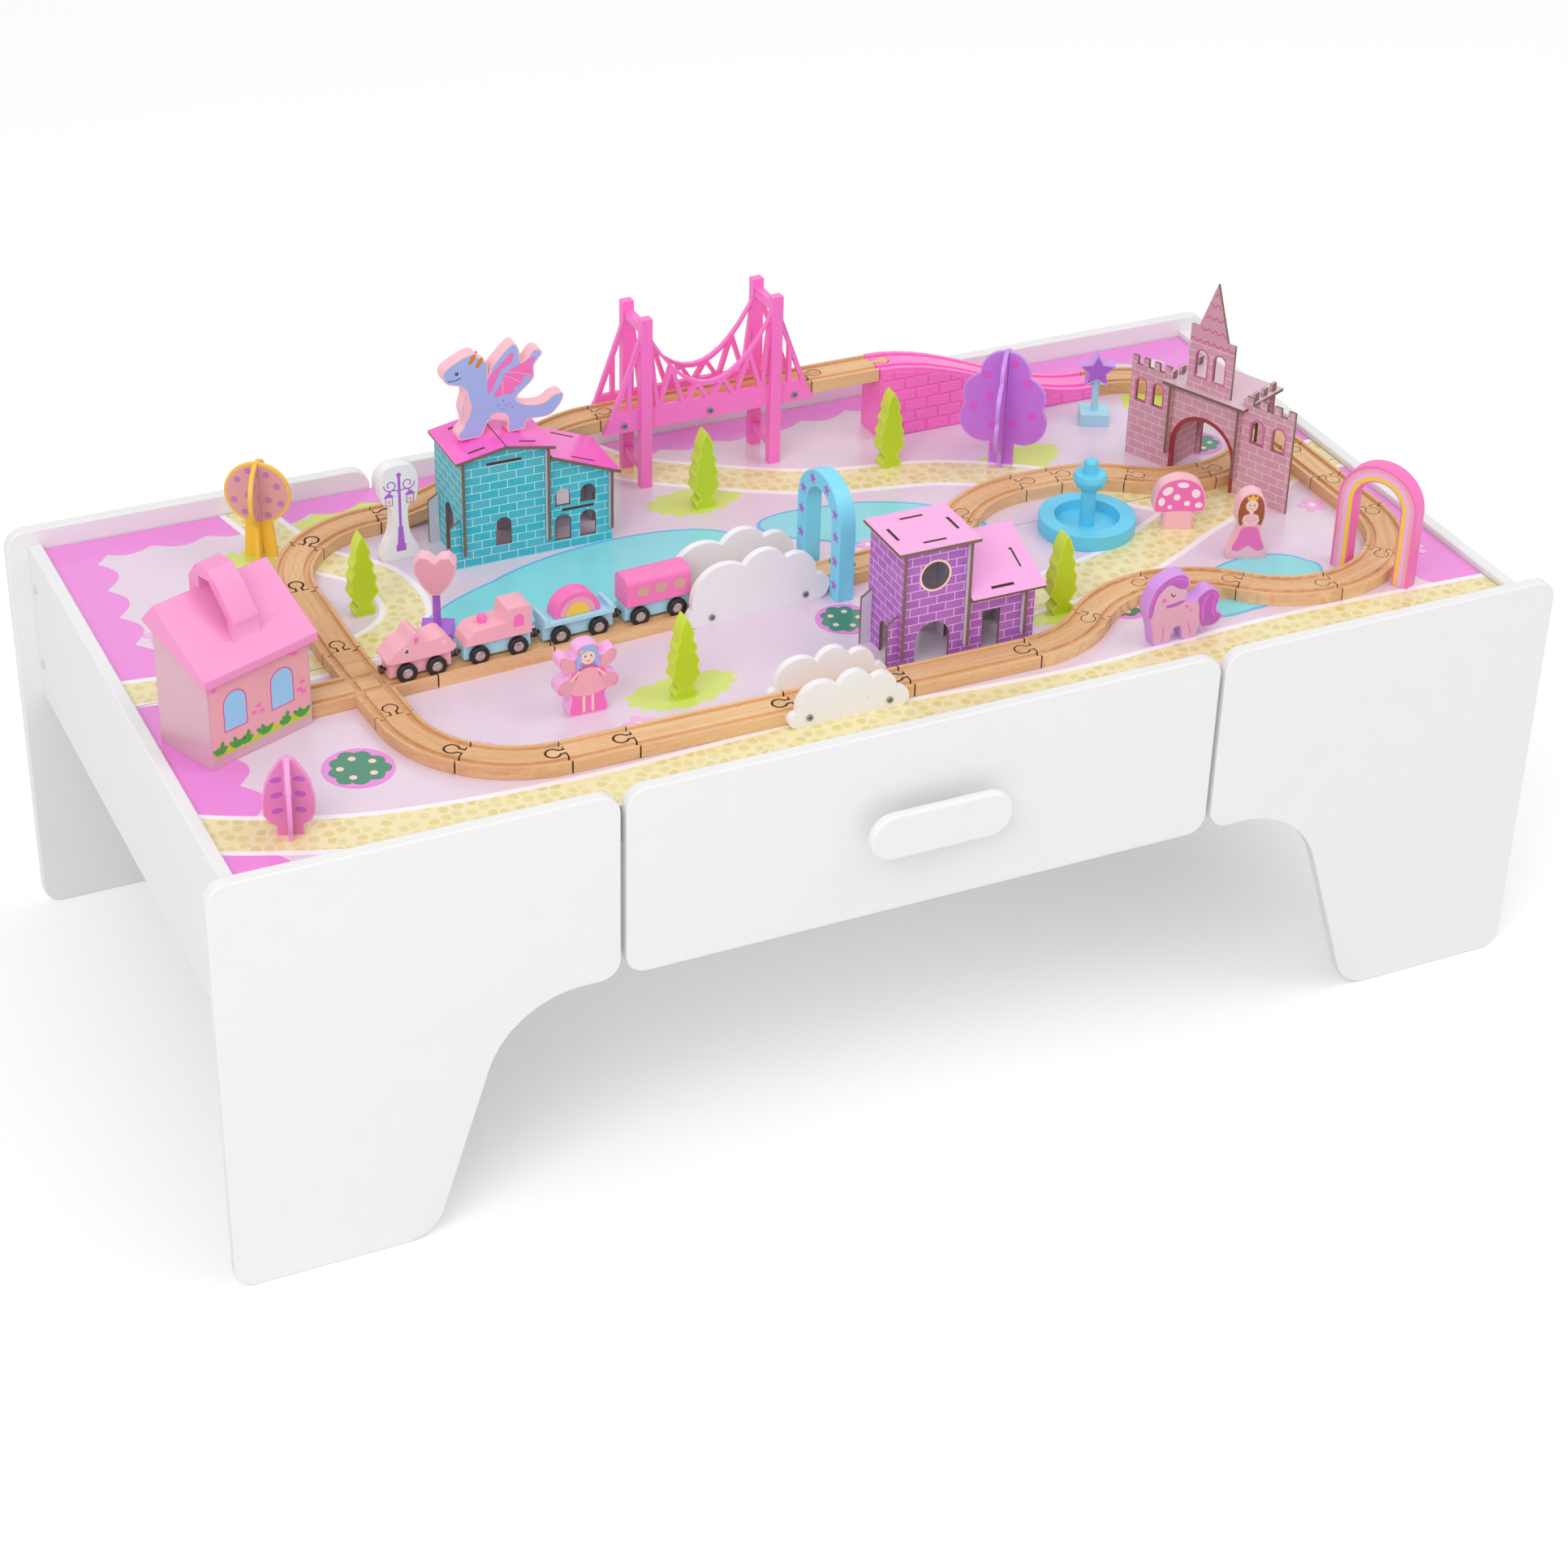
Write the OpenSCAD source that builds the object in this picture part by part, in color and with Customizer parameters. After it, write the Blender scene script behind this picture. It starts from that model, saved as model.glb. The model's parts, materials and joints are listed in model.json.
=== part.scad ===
/* [Table] */
// Length of the table
table_w = 1250; // [1200:5:1500]
// Depth over the front and rear panels
table_d = 618; // [580:2:700]
// Height of the panels
table_h = 400; // [360:5:460]
// Thickness of the panels
panel_t = 12; // [9:0.5:18]
// Radius of the panel corners
panel_r = 18; // [4:1:30]
// Gap between the leg panels and the middle panels
panel_gap = 5; // [2:0.5:10]
// Width of a leg panel
leg_w = 343; // [330:1:380]
// Width of a foot at the floor
foot_w = 174; // [120:1:188]
// Height of the opening under the table
skirt_z = 220; // [180:2:240]
// Slope of the inner leg edge from upright
leg_slope = 18; // [5:1:20]
// Radius at the inner end of a foot
foot_r = 36; // [5:1:50]
// Radius where a leg runs into its panel
knee_r = 88; // [30:1:100]

/* [Frame and board] */
// Set-back of the aprons from the ends of the leg panels
apron_inset = 20; // [10:1:40]
// Height of an apron board
apron_h = 156; // [120:1:165]
// Drop of the apron below the top of the panels
apron_drop = 14; // [5:1:18]
// Drop of the play board below the top of the panels
board_drop = 20; // [15:1:40]
// Thickness of the play board
board_t = 6; // [4:0.5:12]
// Gap round the edges of the play board
board_gap = 1; // [0.5:0.1:2]
// Height of the rails under the play board
rail_h = 30; // [20:1:40]
// Thickness of the rails under the play board
rail_t = 18; // [12:1:25]
// Radius of a bolt cap
cap_r = 4; // [3:0.5:8]
// Thickness of a bolt cap
cap_t = 1.5; // [1:0.1:3]

/* [Drawer] */
// Length of the drawer box
drawer_l = 430; // [350:5:480]
// Thickness of the drawer boards
drawer_t = 10; // [8:0.5:15]
// Thickness of the drawer bottom
bottom_t = 4; // [3:0.5:8]
// Running gap round the drawer box
drawer_gap = 2; // [1:0.1:4]
// Thickness of a runner board
runner_t = 12; // [9:0.5:18]
// Width and height of the ledge that carries the drawer
ledge = 10; // [6:0.5:14]
// Width of the handle
handle_w = 134; // [100:1:160]
// Height of the handle
handle_h = 44; // [30:1:60]
// Thickness of the handle
handle_t = 10; // [8:0.5:15]
// Reach of the handle in front of the drawer
handle_reach = 24; // [18:0.5:35]
// Height of the handle's centre above the floor
handle_z = 310; // [290:1:330]
// Radius of a handle post
post_r = 7; // [4:0.5:10]
// Distance between the handle posts
post_span = 70; // [50:1:90]

/* [Railway] */
// Width of the track
track_w = 35; // [34:0.5:38]
// Height of the track
track_h = 12; // [10:0.5:14]
// Distance between the two grooves
gauge = 23; // [22.5:0.1:24]
// Width of a groove
groove_w = 5.4; // [5:0.1:6]
// Depth of a groove
groove_d = 3; // [2:0.1:4]
// Radius of the curves at the middle of the track
curve_r = 108; // [100:0.5:114]
// Gap between two track pieces
joint_gap = 1; // [0.5:0.1:2]
// Radius of a peg's head
peg_r = 6; // [4:0.1:6.5]
// Reach of a peg from the joint to its head's centre
peg_reach = 10; // [8:0.5:14]
// Width of a peg's neck
neck_w = 5; // [3:0.1:7]
// Clearance round a peg
peg_clear = 0.8; // [0.6:0.1:1.2]
// Length of each of the two pieces that climb to and cross the bridge
bridge_rail = 216; // [200:1:222]
// Length of the flat piece behind the bridge
landing_rail = 72; // [60:1:80]
// Rise of the bridge deck
deck_rise = 62; // [45:1:75]
// Half the length of the crossing
cross_half = 58; // [50:1:62]
// Length of the track that runs into the station
stub_l = 62; // [40:1:70]
// Length of the straight piece before the castle
crest_rail = 38; // [30:0.5:46]
// Offset of the castle from the middle of the track
gate_shift = 10; // [0:0.5:12]

/* [Bridge] */
// Thickness of a bridge side
lattice_t = 5; // [3:0.5:8]
// Height of the bridge towers
tower_h = 172; // [140:1:190]
// Width of a tower
tower_w = 11; // [8:0.5:15]
// Thickness of a tower
tower_t = 9; // [6:0.5:12]
// Distance from the end of the deck to a tower
tower_in = 42; // [30:1:60]
// Height of the girder
girder_h = 21; // [15:0.5:30]
// Height of the cable's lowest point above the girder
cable_rise = 14; // [8:0.5:25]
// Thickness of the cable and the bars
bar_t = 4; // [2.5:0.1:6]
// Thickness of the cross beams
beam_t = 8; // [5:0.5:10]
// Side wall of the brick ramp beyond the track
ramp_side = 2; // [1:0.5:3]
// Wall of the hollow brick ramp
ramp_wall = 3; // [2:0.5:5]
// Radius of a screw head
screw_r = 3; // [2:0.1:4]
// Height of a screw head
screw_t = 1.5; // [1:0.1:2]

/* [Train] */
// Radius of a wheel
wheel_r = 9; // [8:0.1:10]
// Thickness of a wheel
wheel_t = 4.2; // [3:0.1:4.8]
// Radius of an axle
axle_r = 2; // [1.5:0.1:2.5]
// Running clearance of an axle in its bore
axle_clear = 0.08; // [0.05:0.01:0.1]
// Gap between a wheel and the bottom of its groove
roll_gap = 0.3; // [0.2:0.05:0.5]
// Width of a chassis between the wheels
keel_w = 17.6; // [14:0.1:18]
// Width of the bodies above the wheels
body_w = 25; // [22:0.5:28]
// Height of the chassis top above the track
deck_z = 17; // [16:0.5:20]
// Clearance under a chassis above the track
keel_z = 3; // [2:0.5:3.5]
// Distance of the locomotive from the crossing
loco_s = 45; // [40:1:60]
// Length of the locomotive
loco_l = 56; // [54:0.5:64]
// Height of the locomotive above its chassis level
loco_h = 26; // [20:0.5:32]
// Wheel base of the locomotive
loco_base = 27; // [24:0.5:30]
// Length of the engine
engine_l = 62; // [58:0.5:70]
// Height of the engine body
engine_h = 28; // [20:0.5:34]
// Length of the wagon
wagon_l = 66; // [60:0.5:72]
// Radius of the rainbow load
load_r = 22; // [15:0.5:25]
// Length of the coach
coach_l = 62; // [58:0.5:70]
// Height of the coach cabin
coach_h = 27; // [20:0.5:32]
// Wheel base of the other cars
car_base = 36; // [30:0.5:38]
// Gap between two cars
car_gap = 12; // [11:0.1:14]
// Radius of a coupling magnet
magnet_r = 4; // [3:0.1:5]
// Radius of the stem behind a magnet
stem_r = 1.6; // [1:0.1:2.5]

/* [Slot-together houses] */
// Thickness of the house boards
ply = 3; // [2:0.1:4]
// Clearance in the slots
slot_clear = 0.3; // [0.2:0.05:0.5]
// Reach of a board past the board that it crosses
flap = 5; // [4:0.5:7]
// Overhang of the roofs
eave = 6; // [4:0.5:8]
// Width of the teal house
teal_w = 84; // [76:1:90]
// Width of the wing of the teal house
teal_wing = 61; // [50:1:66]
// Depth of the teal house
teal_d = 60; // [50:1:64]
// Height of the teal house walls
teal_h = 106; // [95:1:120]
// Rise of the teal gable
gable_rise = 9; // [5:0.5:14]
// Height of the outer wall of the teal wing
teal_low = 72; // [60:1:80]
// Width of the purple house
purple_w = 66; // [58:1:70]
// Width of the wing of the purple house
purple_wing = 66; // [58:1:70]
// Distance of the purple house from the front rails
purple_yard = 11.45; // [10:0.05:16]
// Depth of the purple house
purple_d = 54; // [48:1:60]
// Height of the purple house walls
purple_h = 114; // [100:1:125]
// Height of the front wall of the purple wing
purple_low = 58; // [50:1:66]
// Rise of the purple wing's roof towards the back
shed_rise = 22; // [14:1:28]
// Width of the castle gate
gate_w = 86; // [84:1:90]
// Depth of the castle gate
gate_d = 50; // [44:1:56]
// Height of the castle gate
gate_h = 90; // [80:1:100]
// Width of the gate's archway
archway_w = 66; // [64:0.5:68]
// Height of the gate's archway
archway_h = 62; // [60:0.5:68]
// Length of the castle's left wing
left_wing = 44; // [36:1:52]
// Length of the castle's right wing
right_wing = 54; // [44:1:60]
// Height of the castle wings
wing_h = 96; // [85:1:105]
// Height of a merlon
merlon_h = 8; // [5:0.5:10]
// Height of the castle tower above the roof
spire_h = 110; // [90:1:125]
// Width of the castle tower
spire_w = 50; // [40:1:56]

/* [Station] */
// Length of the station
station_l = 106; // [95:1:115]
// Depth of the station
station_d = 66; // [58:1:72]
// Height of the station's front wall
station_h = 82; // [74:1:90]
// Rise of the station's rear wall above its front wall
station_rise = 30; // [20:1:36]
// Wall of the station
station_t = 2.5; // [2:0.1:4]
// Thickness of the station roof
lid_t = 5.5; // [3:0.1:7]
// Rise of the roof's ridge above its rear edge
ridge_rise = 22; // [14:1:28]
// Width of the carrying handle
grip_w = 26; // [20:1:32]
// Height of the handle above the ridge
grip_h = 20; // [16:1:26]

/* [Wooden toys] */
// Thickness of the thick wooden figures
figure_t = 14; // [10:0.5:18]
// Height of a fir tree
fir_h = 79; // [65:1:90]
// Width of a fir tree
fir_w = 28; // [22:0.5:32]
// Thickness of the boards of a slot-together tree
leaf_t = 4; // [3:0.1:5]
// Height of the round tree
round_h = 94; // [80:1:105]
// Radius of the round tree's crown
round_r = 30; // [24:0.5:34]
// Height of the leaf tree
leaf_h = 73; // [65:1:85]
// Width of the leaf tree
leaf_w = 42; // [36:1:50]
// Height of the cloud tree
puff_h = 118; // [100:1:126]
// Radius of the cloud tree's upper lobe
puff_r = 24; // [20:0.5:27]
// Width of a sign's foot
foot_block = 28; // [24:0.5:32]
// Height of a sign's foot
foot_block_h = 12; // [8:0.5:16]
// Radius of a sign's post
sign_r = 3.5; // [2.5:0.1:4.5]
// Height of a sign's post above its foot
sign_h = 34; // [28:1:42]
// Width of the heart and the star
badge_w = 37; // [30:0.5:42]
// Height of the lamp post block
lamp_h = 95; // [80:1:105]
// Width of the lamp post block
lamp_w = 36; // [30:0.5:42]
// Height of the dragon
dragon_h = 86; // [76:1:96]
// Width of the dragon
dragon_w = 112; // [96:1:118]
// Height of the pony
pony_h = 68; // [58:1:76]
// Width of the pony
pony_w = 78; // [66:1:84]
// Height of the princess
princess_h = 68; // [58:1:76]
// Width of the princess
princess_w = 34; // [28:0.5:38]
// Height of the fairy
fairy_h = 68; // [58:1:76]
// Width of the fairy
fairy_w = 56; // [48:0.5:62]
// Height of the mushroom
mushroom_h = 53; // [45:1:60]
// Width of the mushroom
mushroom_w = 48; // [40:0.5:54]
// Width of an arch over the track
arch_w = 78; // [74:0.5:84]
// Height of an arch over the track
arch_h = 111; // [100:1:120]
// Width of an arch's band
arch_band = 16; // [12:0.5:18]
// Gap between the blue arch and the long cloud
arch_gap = 1.6; // [1.5:0.1:5]
// Thickness of an arch
arch_t = 16; // [12:0.5:20]
// Length of the long cloud panels
long_cloud = 140; // [125:1:150]
// Height of the long cloud panels
long_cloud_h = 62; // [54:1:70]
// Length of the short cloud panels
short_cloud = 112; // [100:1:120]
// Height of the short cloud panels
short_cloud_h = 43; // [36:1:50]
// Thickness of a cloud panel
cloud_t = 7; // [5:0.5:9]
// Distance of the fountain past the start of the crest rail
fountain_side = 26; // [20:1:32]
// Radius of the fountain basin
basin_r = 45; // [38:0.5:50]
// Height of the fountain basin
basin_h = 15; // [10:0.5:20]
// Width of the basin's rim
basin_rim = 15; // [8:0.5:20]
// Height of the whole fountain
fountain_h = 72; // [60:1:80]
// Radius of the fountain's pillar
pillar_r = 7; // [5:0.1:9]
// Radius of the fountain's cup
cup_r = 16; // [12:0.5:20]

/* [Hidden] */
$fn = 64;
// Overrun of every cut past the face that it opens
cut = 1;
arc_steps = 8;
curve_steps = 14;
spline_steps = 4;

// Straight rails as shares of the front line and of the inner line, without the last one
front_rail_shares = [0.282, 0.249, 0.331];
inner_rail_shares = [0.233, 0.310, 0.310];

// Places on the board, as shares of the table's width and depth from its centre
cross_share = [-0.325, -0.0874];
right_line_share = 0.4424;
top_line_share = 0.3625;
fir_shares = [[-0.292, 0.126], [-0.007, 0.236], [0.150, 0.249], [-0.130, -0.257], [0.162, -0.251]];
round_tree_share = [-0.332, 0.340];
leaf_tree_share = [-0.426, -0.377];
puff_tree_share = [0.231, 0.188];
heart_share = [-0.256, 0.018];
star_share = [0.333, 0.262];
lamp_share = [-0.241, 0.262];
teal_share = [-0.206, 0.190];
purple_share = 0.019;
station_share = [-0.4495, -0.195];
fountain_share = 0.547;
pony_share = [0.222, -0.381];
princess_share = [0.328, -0.212];
fairy_share = [-0.198, -0.241];
mushroom_share = [0.304, -0.094];
long_cloud_share = 0.69;
short_cloud_share = 0.405;

// Turns of the toys on the board, in degrees
castle_angle = -66;
gate_angle = 15;
station_angle = 22;
rainbow_angle = 30;
crest_angle = 50;
bend_angle = 38;
half_angle = 45;
round_tree_angle = -30;
leaf_tree_angle = -16;
puff_tree_angle = -38;
sign_angle = -25;
figure_angle = -20;

// First part of the switch's branch, which still lies inside its straight, in degrees
branch_angle = 14;

mid_y = handle_reach / 2;
front_y = mid_y - table_d / 2;
back_y = mid_y + table_d / 2;
middle_w = table_w - 2 * (leg_w + panel_gap);
apron_x = table_w / 2 - apron_inset - panel_t;
board_z = table_h - board_drop;
rail_z = board_z - board_t - rail_h;
runner_x = middle_w / 2 - runner_t - drawer_gap;
box_x = runner_x - drawer_gap;
runner_z = skirt_z + panel_t;
box_z = runner_z + ledge + roll_gap;
box_h = rail_z - drawer_gap * 2 - box_z;
rest_y = front_y + panel_t + board_gap;

// Shapes used by many pieces

function unit(v) = v / norm(v);
function flat(p) = [p.x, p.y];
function scaled(shares, w, h) = [for (s = shares) [s.x * w, s.y * h]];
function place(share) = [share.x * table_w, mid_y + share.y * table_d];

// Points of the arc that rounds corner i of an outline of [x, y, radius] corners
function corner(p, i) =
    let (
        n = len(p),
        b = flat(p[i]),
        u = unit(flat(p[(i + n - 1) % n]) - b),
        v = unit(flat(p[(i + 1) % n]) - b),
        r = p[i][2],
        half = acos(u * v) / 2,
        centre = b + unit(u + v) * r / sin(half),
        start = b + u * r / tan(half),
        stop = b + v * r / tan(half)
    )
    r == 0 ? [b] : [for (k = [0:arc_steps])
        centre + unit(start + (stop - start) * k / arc_steps - centre) * r];

function rounded(p) = [for (i = [0:len(p) - 1]) each corner(p, i)];
function rounded_box(w, h, r) = rounded([[0, 0, r], [w, 0, r], [w, h, r], [0, h, r]]);

// Point at share t of the smooth curve that runs from b to c between neighbours a and d
function curve_at(a, b, c, d, t) =
    (2 * b + (c - a) * t + (2 * a - 5 * b + 4 * c - d) * t * t + (3 * b - a - 3 * c + d) * t * t * t) / 2;

// Smooth closed outline through the points, kept above the ground line
function smooth(p) =
    let (n = len(p))
    [for (i = [0:n - 1], k = [0:spline_steps - 1])
        let (q = curve_at(p[(i + n - 1) % n], p[i], p[(i + 1) % n], p[(i + 2) % n], k / spline_steps))
        [q.x, max(q.y, 0)]];

// Right half of an outline joined to its mirror image
function both_halves(half) =
    concat(half, [for (i = [len(half) - 1:-1:0]) if (half[i].x > 0) [-half[i].x, half[i].y]]);

// Upright board of the drawn outline, from y = 0 to its thickness
module upright(t) {
    translate([0, t, 0]) rotate([90, 0, 0]) linear_extrude(height = t) children();
}

module on_board(spot, turn) {
    translate([spot.x, spot.y, board_z]) rotate(turn) children();
}

// Straight bar between two points of a drawing
module bar(p, q, t) {
    side = [-(q - p).y, (q - p).x] * t / 2 / norm(q - p);
    polygon([p + side, p - side, q - side, q + side]);
}

// Rectangular or round-headed opening, as [x, y, w, h] shares of the wall, with its head's kind
module opening(o, l, h, round_head) {
    w = o[2] * l;
    translate([o.x * l, o.y * h]) {
        translate([-w / 2, 0]) square([w, o[3] * h - (round_head ? w / 2 : 0)]);
        if (round_head) translate([0, o[3] * h - w / 2]) circle(w / 2);
    }
}

// Table

knee_x = foot_w + skirt_z * tan(leg_slope);
knee_fit = min(knee_r, (leg_w - knee_x - panel_r) * tan((90 + leg_slope) / 2));
leg_outline = rounded([[0, 0, panel_r], [foot_w, 0, foot_r], [knee_x, skirt_z, knee_fit],
    [leg_w, skirt_z, panel_r], [leg_w, table_h, panel_r], [0, table_h, panel_r]]);

module leg(y) {
    color("white") translate([-table_w / 2, y, 0]) upright(panel_t) polygon(leg_outline);
}

module front_left_leg() {
    leg(front_y);
}

module front_right_leg() {
    mirror([1, 0, 0]) leg(front_y);
}

module rear_left_leg() {
    leg(back_y - panel_t);
}

module rear_right_leg() {
    mirror([1, 0, 0]) leg(back_y - panel_t);
}

module middle_panel(y) {
    color("white") translate([-middle_w / 2, y, skirt_z]) upright(panel_t)
        polygon(rounded_box(middle_w, table_h - skirt_z, panel_r));
}

module rear_panel() {
    middle_panel(back_y - panel_t);
}

module left_apron() {
    color("white") translate([-apron_x - panel_t, front_y + panel_t, table_h - apron_drop - apron_h])
        cube([panel_t, table_d - 2 * panel_t, apron_h]);
}

module right_apron() {
    mirror([1, 0, 0]) left_apron();
}

module half_board(y) {
    color("plum") translate([board_gap - apron_x, y, board_z - board_t])
        cube([2 * (apron_x - board_gap), table_d / 2 - panel_t - 1.5 * board_gap, board_t]);
}

module front_board() {
    half_board(rest_y);
}

module rear_board() {
    half_board(mid_y + board_gap / 2);
}

module board_rails() {
    rail_ys = [rest_y, mid_y - rail_t / 2, back_y - panel_t - rail_t];
    color("white") {
        for (y = rail_ys)
            translate([-apron_x, y, rail_z]) cube([2 * apron_x, rail_t, rail_h]);
        for (side = [0, 1], i = [0, 1])
            mirror([side, 0, 0]) translate([-apron_x, rail_ys[i] + rail_t, rail_z])
                cube([rail_t, rail_ys[i + 1] - rail_ys[i] - rail_t, rail_h]);
    }
}

module drawer_runners() {
    runner_l = back_y - panel_t - rest_y;
    color("white") for (side = [0, 1])
        mirror([side, 0, 0]) translate([runner_x, rest_y, runner_z]) {
            cube([runner_t, runner_l, rail_z - runner_z]);
            translate([-ledge, 0, 0]) cube([ledge, runner_l, ledge]);
        }
}

module joint_caps() {
    cap_shares = [0.25, 0.75];
    color("dimgray") for (side = [0, 1], y = [front_y + 2 * panel_t, back_y - 2 * panel_t], s = cap_shares)
        mirror([side, 0, 0])
            translate([-apron_x - panel_t, y, table_h - apron_drop - apron_h * s])
                rotate([0, -90, 0]) cylinder(r = cap_r, h = cap_t);
}

// Drawer

module drawer_front() {
    middle_panel(front_y);
}

module drawer_handle() {
    end_r = handle_h / 2;
    color("white") translate([0, front_y - handle_reach, handle_z]) upright(handle_t) {
        square([handle_w - handle_h, handle_h], center = true);
        for (x = [end_r - handle_w / 2, handle_w / 2 - end_r]) translate([x, 0]) circle(end_r);
    }
}

module handle_posts() {
    color("white") for (x = [-post_span / 2, post_span / 2])
        translate([x, front_y, handle_z]) rotate([90, 0, 0])
            cylinder(r = post_r, h = handle_reach - handle_t);
}

module drawer_sides() {
    color("white") for (side = [0, 1])
        mirror([side, 0, 0]) translate([box_x - drawer_t, front_y + panel_t, box_z])
            cube([drawer_t, drawer_l, box_h]);
}

module drawer_back() {
    color("white") translate([drawer_t - box_x, front_y + panel_t + drawer_l - drawer_t, box_z])
        cube([2 * (box_x - drawer_t), drawer_t, box_h]);
}

module drawer_bottom() {
    color("white") translate([drawer_t - box_x, front_y + panel_t, box_z])
        cube([2 * (box_x - drawer_t), drawer_l - drawer_t, bottom_t]);
}

// Railway: a pose is [x, y, heading], and a piece is [0, length] or [turn, angle]

groove_edges = [(gauge - groove_w) / 2, (gauge + groove_w) / 2];
track_profile = both_halves([[track_w / 2, 0], [track_w / 2, track_h], [groove_edges[1], track_h],
    [groove_edges[1], track_h - groove_d], [groove_edges[0], track_h - groove_d],
    [groove_edges[0], track_h]]);

function ahead(p, l) = [p.x + l * cos(p[2]), p.y + l * sin(p[2]), p[2]];
function turned(p, turn, a) =
    let (h = p[2] + turn * a)
    [p.x + turn * curve_r * (sin(h) - sin(p[2])), p.y + turn * curve_r * (cos(p[2]) - cos(h)), h];
function after(p, piece) = piece[0] == 0 ? ahead(p, piece[1]) : turned(p, piece[0], piece[1]);

// Straight rails that share out a run; the last one takes the rest
function rails(run, shares) = concat([for (s = shares) [0, run * s]],
    [[0, run * (1 - shares * [1, 1, 1])]]);

function pose(p, pieces, n) = n == 0 ? p : after(pose(p, pieces, n - 1), pieces[n - 1]);

// Route of the inner line: a straight from the crossing that meets the curves before the castle
cross = place(cross_share);
right_x = right_line_share * table_w;
top_y = mid_y + top_line_share * table_d;
branch_end = [right_x - curve_r * (1 - cos(half_angle)), top_y - curve_r - curve_r * sin(half_angle)];
bend_start = branch_end - curve_r * [sin(half_angle) + sin(bend_angle), cos(bend_angle) - cos(half_angle)];
gate_pose = turned([bend_start.x, bend_start.y, -bend_angle], 1, bend_angle + gate_angle);
crest = bend_start - [curve_r * sin(bend_angle) + crest_rail, -curve_r * (1 - cos(bend_angle))];
climb_centre = crest - curve_r * [2 * sin(crest_angle), 1 - 2 * cos(crest_angle)];
line_reach = norm(climb_centre - cross);
lean = atan2((climb_centre - cross).y, (climb_centre - cross).x) - asin(curve_r / line_reach);
line_l = sqrt(line_reach * line_reach - curve_r * curve_r);
along = [cos(lean), sin(lean)];
across = [-sin(lean), cos(lean)];

cross_top = cross + cross_half * across;
cross_bottom = cross - cross_half * across;
front_line = cross_bottom.y - curve_r;
wave_l = 4 * curve_r * sin(half_angle);

left_start = [cross_top.x, cross_top.y, 90];
left_pieces = [[0, top_y - curve_r - cross_top.y], [-1, half_angle], [-1, half_angle]];
bridge_start = [cross_top.x + curve_r, top_y, 0];
ramp_start = ahead(bridge_start, 2 * bridge_rail + landing_rail);
right_start = [right_x - curve_r, top_y, 0];
ramp_l = right_start.x - ramp_start.x;
switch_l = curve_r * sin(half_angle) + peg_reach + peg_r;
right_rest = (top_y - front_line - 2 * curve_r - switch_l) / 2;
right_pieces = [[-1, half_angle], [-1, half_angle], [0, switch_l], [0, right_rest], [0, right_rest]];
wave_start = [right_x, front_line + curve_r, -90];
wave_pieces = [for (turn = [-1, -1, -1, 1, 1, -1]) [turn, half_angle]];
front_start = [right_x - curve_r - wave_l, front_line, 180];
front_run = front_start.x - cross_bottom.x - curve_r;
front_pieces = concat(rails(front_run, front_rail_shares), [[-1, half_angle], [-1, half_angle]]);
inner_start = [cross.x + cross_half * along.x, cross.y + cross_half * along.y, lean];
inner_run = line_l - cross_half;
loop_angle = (bend_angle + half_angle) / 2;
inner_pieces = concat(rails(inner_run, inner_rail_shares), [[1, crest_angle - lean], [-1, crest_angle],
    [0, crest_rail], [-1, bend_angle], [1, loop_angle], [1, loop_angle]]);
stub_start = [cross.x - cross_half * along.x, cross.y - cross_half * along.y, lean + 180];

module at(p) {
    translate([p.x, p.y, board_z]) rotate(p[2]) children();
}

module straight_bed(l) {
    rotate([90, 0, 90]) linear_extrude(height = l) polygon(track_profile);
}

module curved_bed(turn, a) {
    translate([0, turn * curve_r, 0]) rotate(turn > 0 ? -90 : 90 - a)
        rotate_extrude(angle = a) translate([curve_r, 0]) polygon(track_profile);
}

module bed(piece) {
    if (piece[0] == 0) straight_bed(piece[1] - joint_gap);
    else curved_bed(piece[0], piece[1]);
}

// Room for the gap at the far end of a curved piece
module end_gap(piece) {
    if (piece[0] != 0)
        translate([-joint_gap, -track_w, -cut]) cube([joint_gap + cut, 2 * track_w, track_h + 2 * cut]);
}

module peg() {
    translate([-2 * joint_gap, -neck_w / 2, 0]) cube([peg_reach + 2 * joint_gap, neck_w, track_h]);
    translate([peg_reach, 0, 0]) cylinder(r = peg_r, h = track_h);
}

module socket() {
    translate([-cut, -neck_w / 2 - peg_clear, -cut])
        cube([peg_reach + cut, neck_w + 2 * peg_clear, track_h + 2 * cut]);
    translate([peg_reach, 0, -cut]) cylinder(r = peg_r + peg_clear, h = track_h + 2 * cut);
}

module ends_at(piece) {
    e = after([0, 0, 0], piece);
    translate([e.x, e.y, 0]) rotate(e[2]) children();
}

module rail_piece(piece) {
    difference() {
        union() {
            difference() {
                bed(piece);
                ends_at(piece) end_gap(piece);
            }
            ends_at(piece) peg();
        }
        socket();
    }
}

module run(start, pieces) {
    color("burlywood") for (i = [0:len(pieces) - 1]) at(pose(start, pieces, i)) rail_piece(pieces[i]);
}

module cross_track() {
    color("burlywood") at([cross.x, cross.y, lean]) difference() {
        union() {
            for (a = [0, 90]) rotate(a) translate([joint_gap - cross_half, -track_w / 2, 0])
                cube([2 * (cross_half - joint_gap), track_w, track_h]);
            for (a = [0, 90, 180]) rotate(a) translate([cross_half, 0, 0]) peg();
        }
        for (a = [0, 90], side = [-1, 1]) rotate(a)
            translate([-cross_half, side * gauge / 2 - groove_w / 2, track_h - groove_d])
                cube([2 * cross_half, groove_w, groove_d + cut]);
        rotate(90) translate([-cross_half, 0, 0]) socket();
    }
}

module left_track() {
    run(left_start, left_pieces);
    run(stub_start, [[0, stub_l]]);
}

module front_track() {
    run(front_start, front_pieces);
}

module wave_track() {
    run(wave_start, wave_pieces);
}

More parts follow.
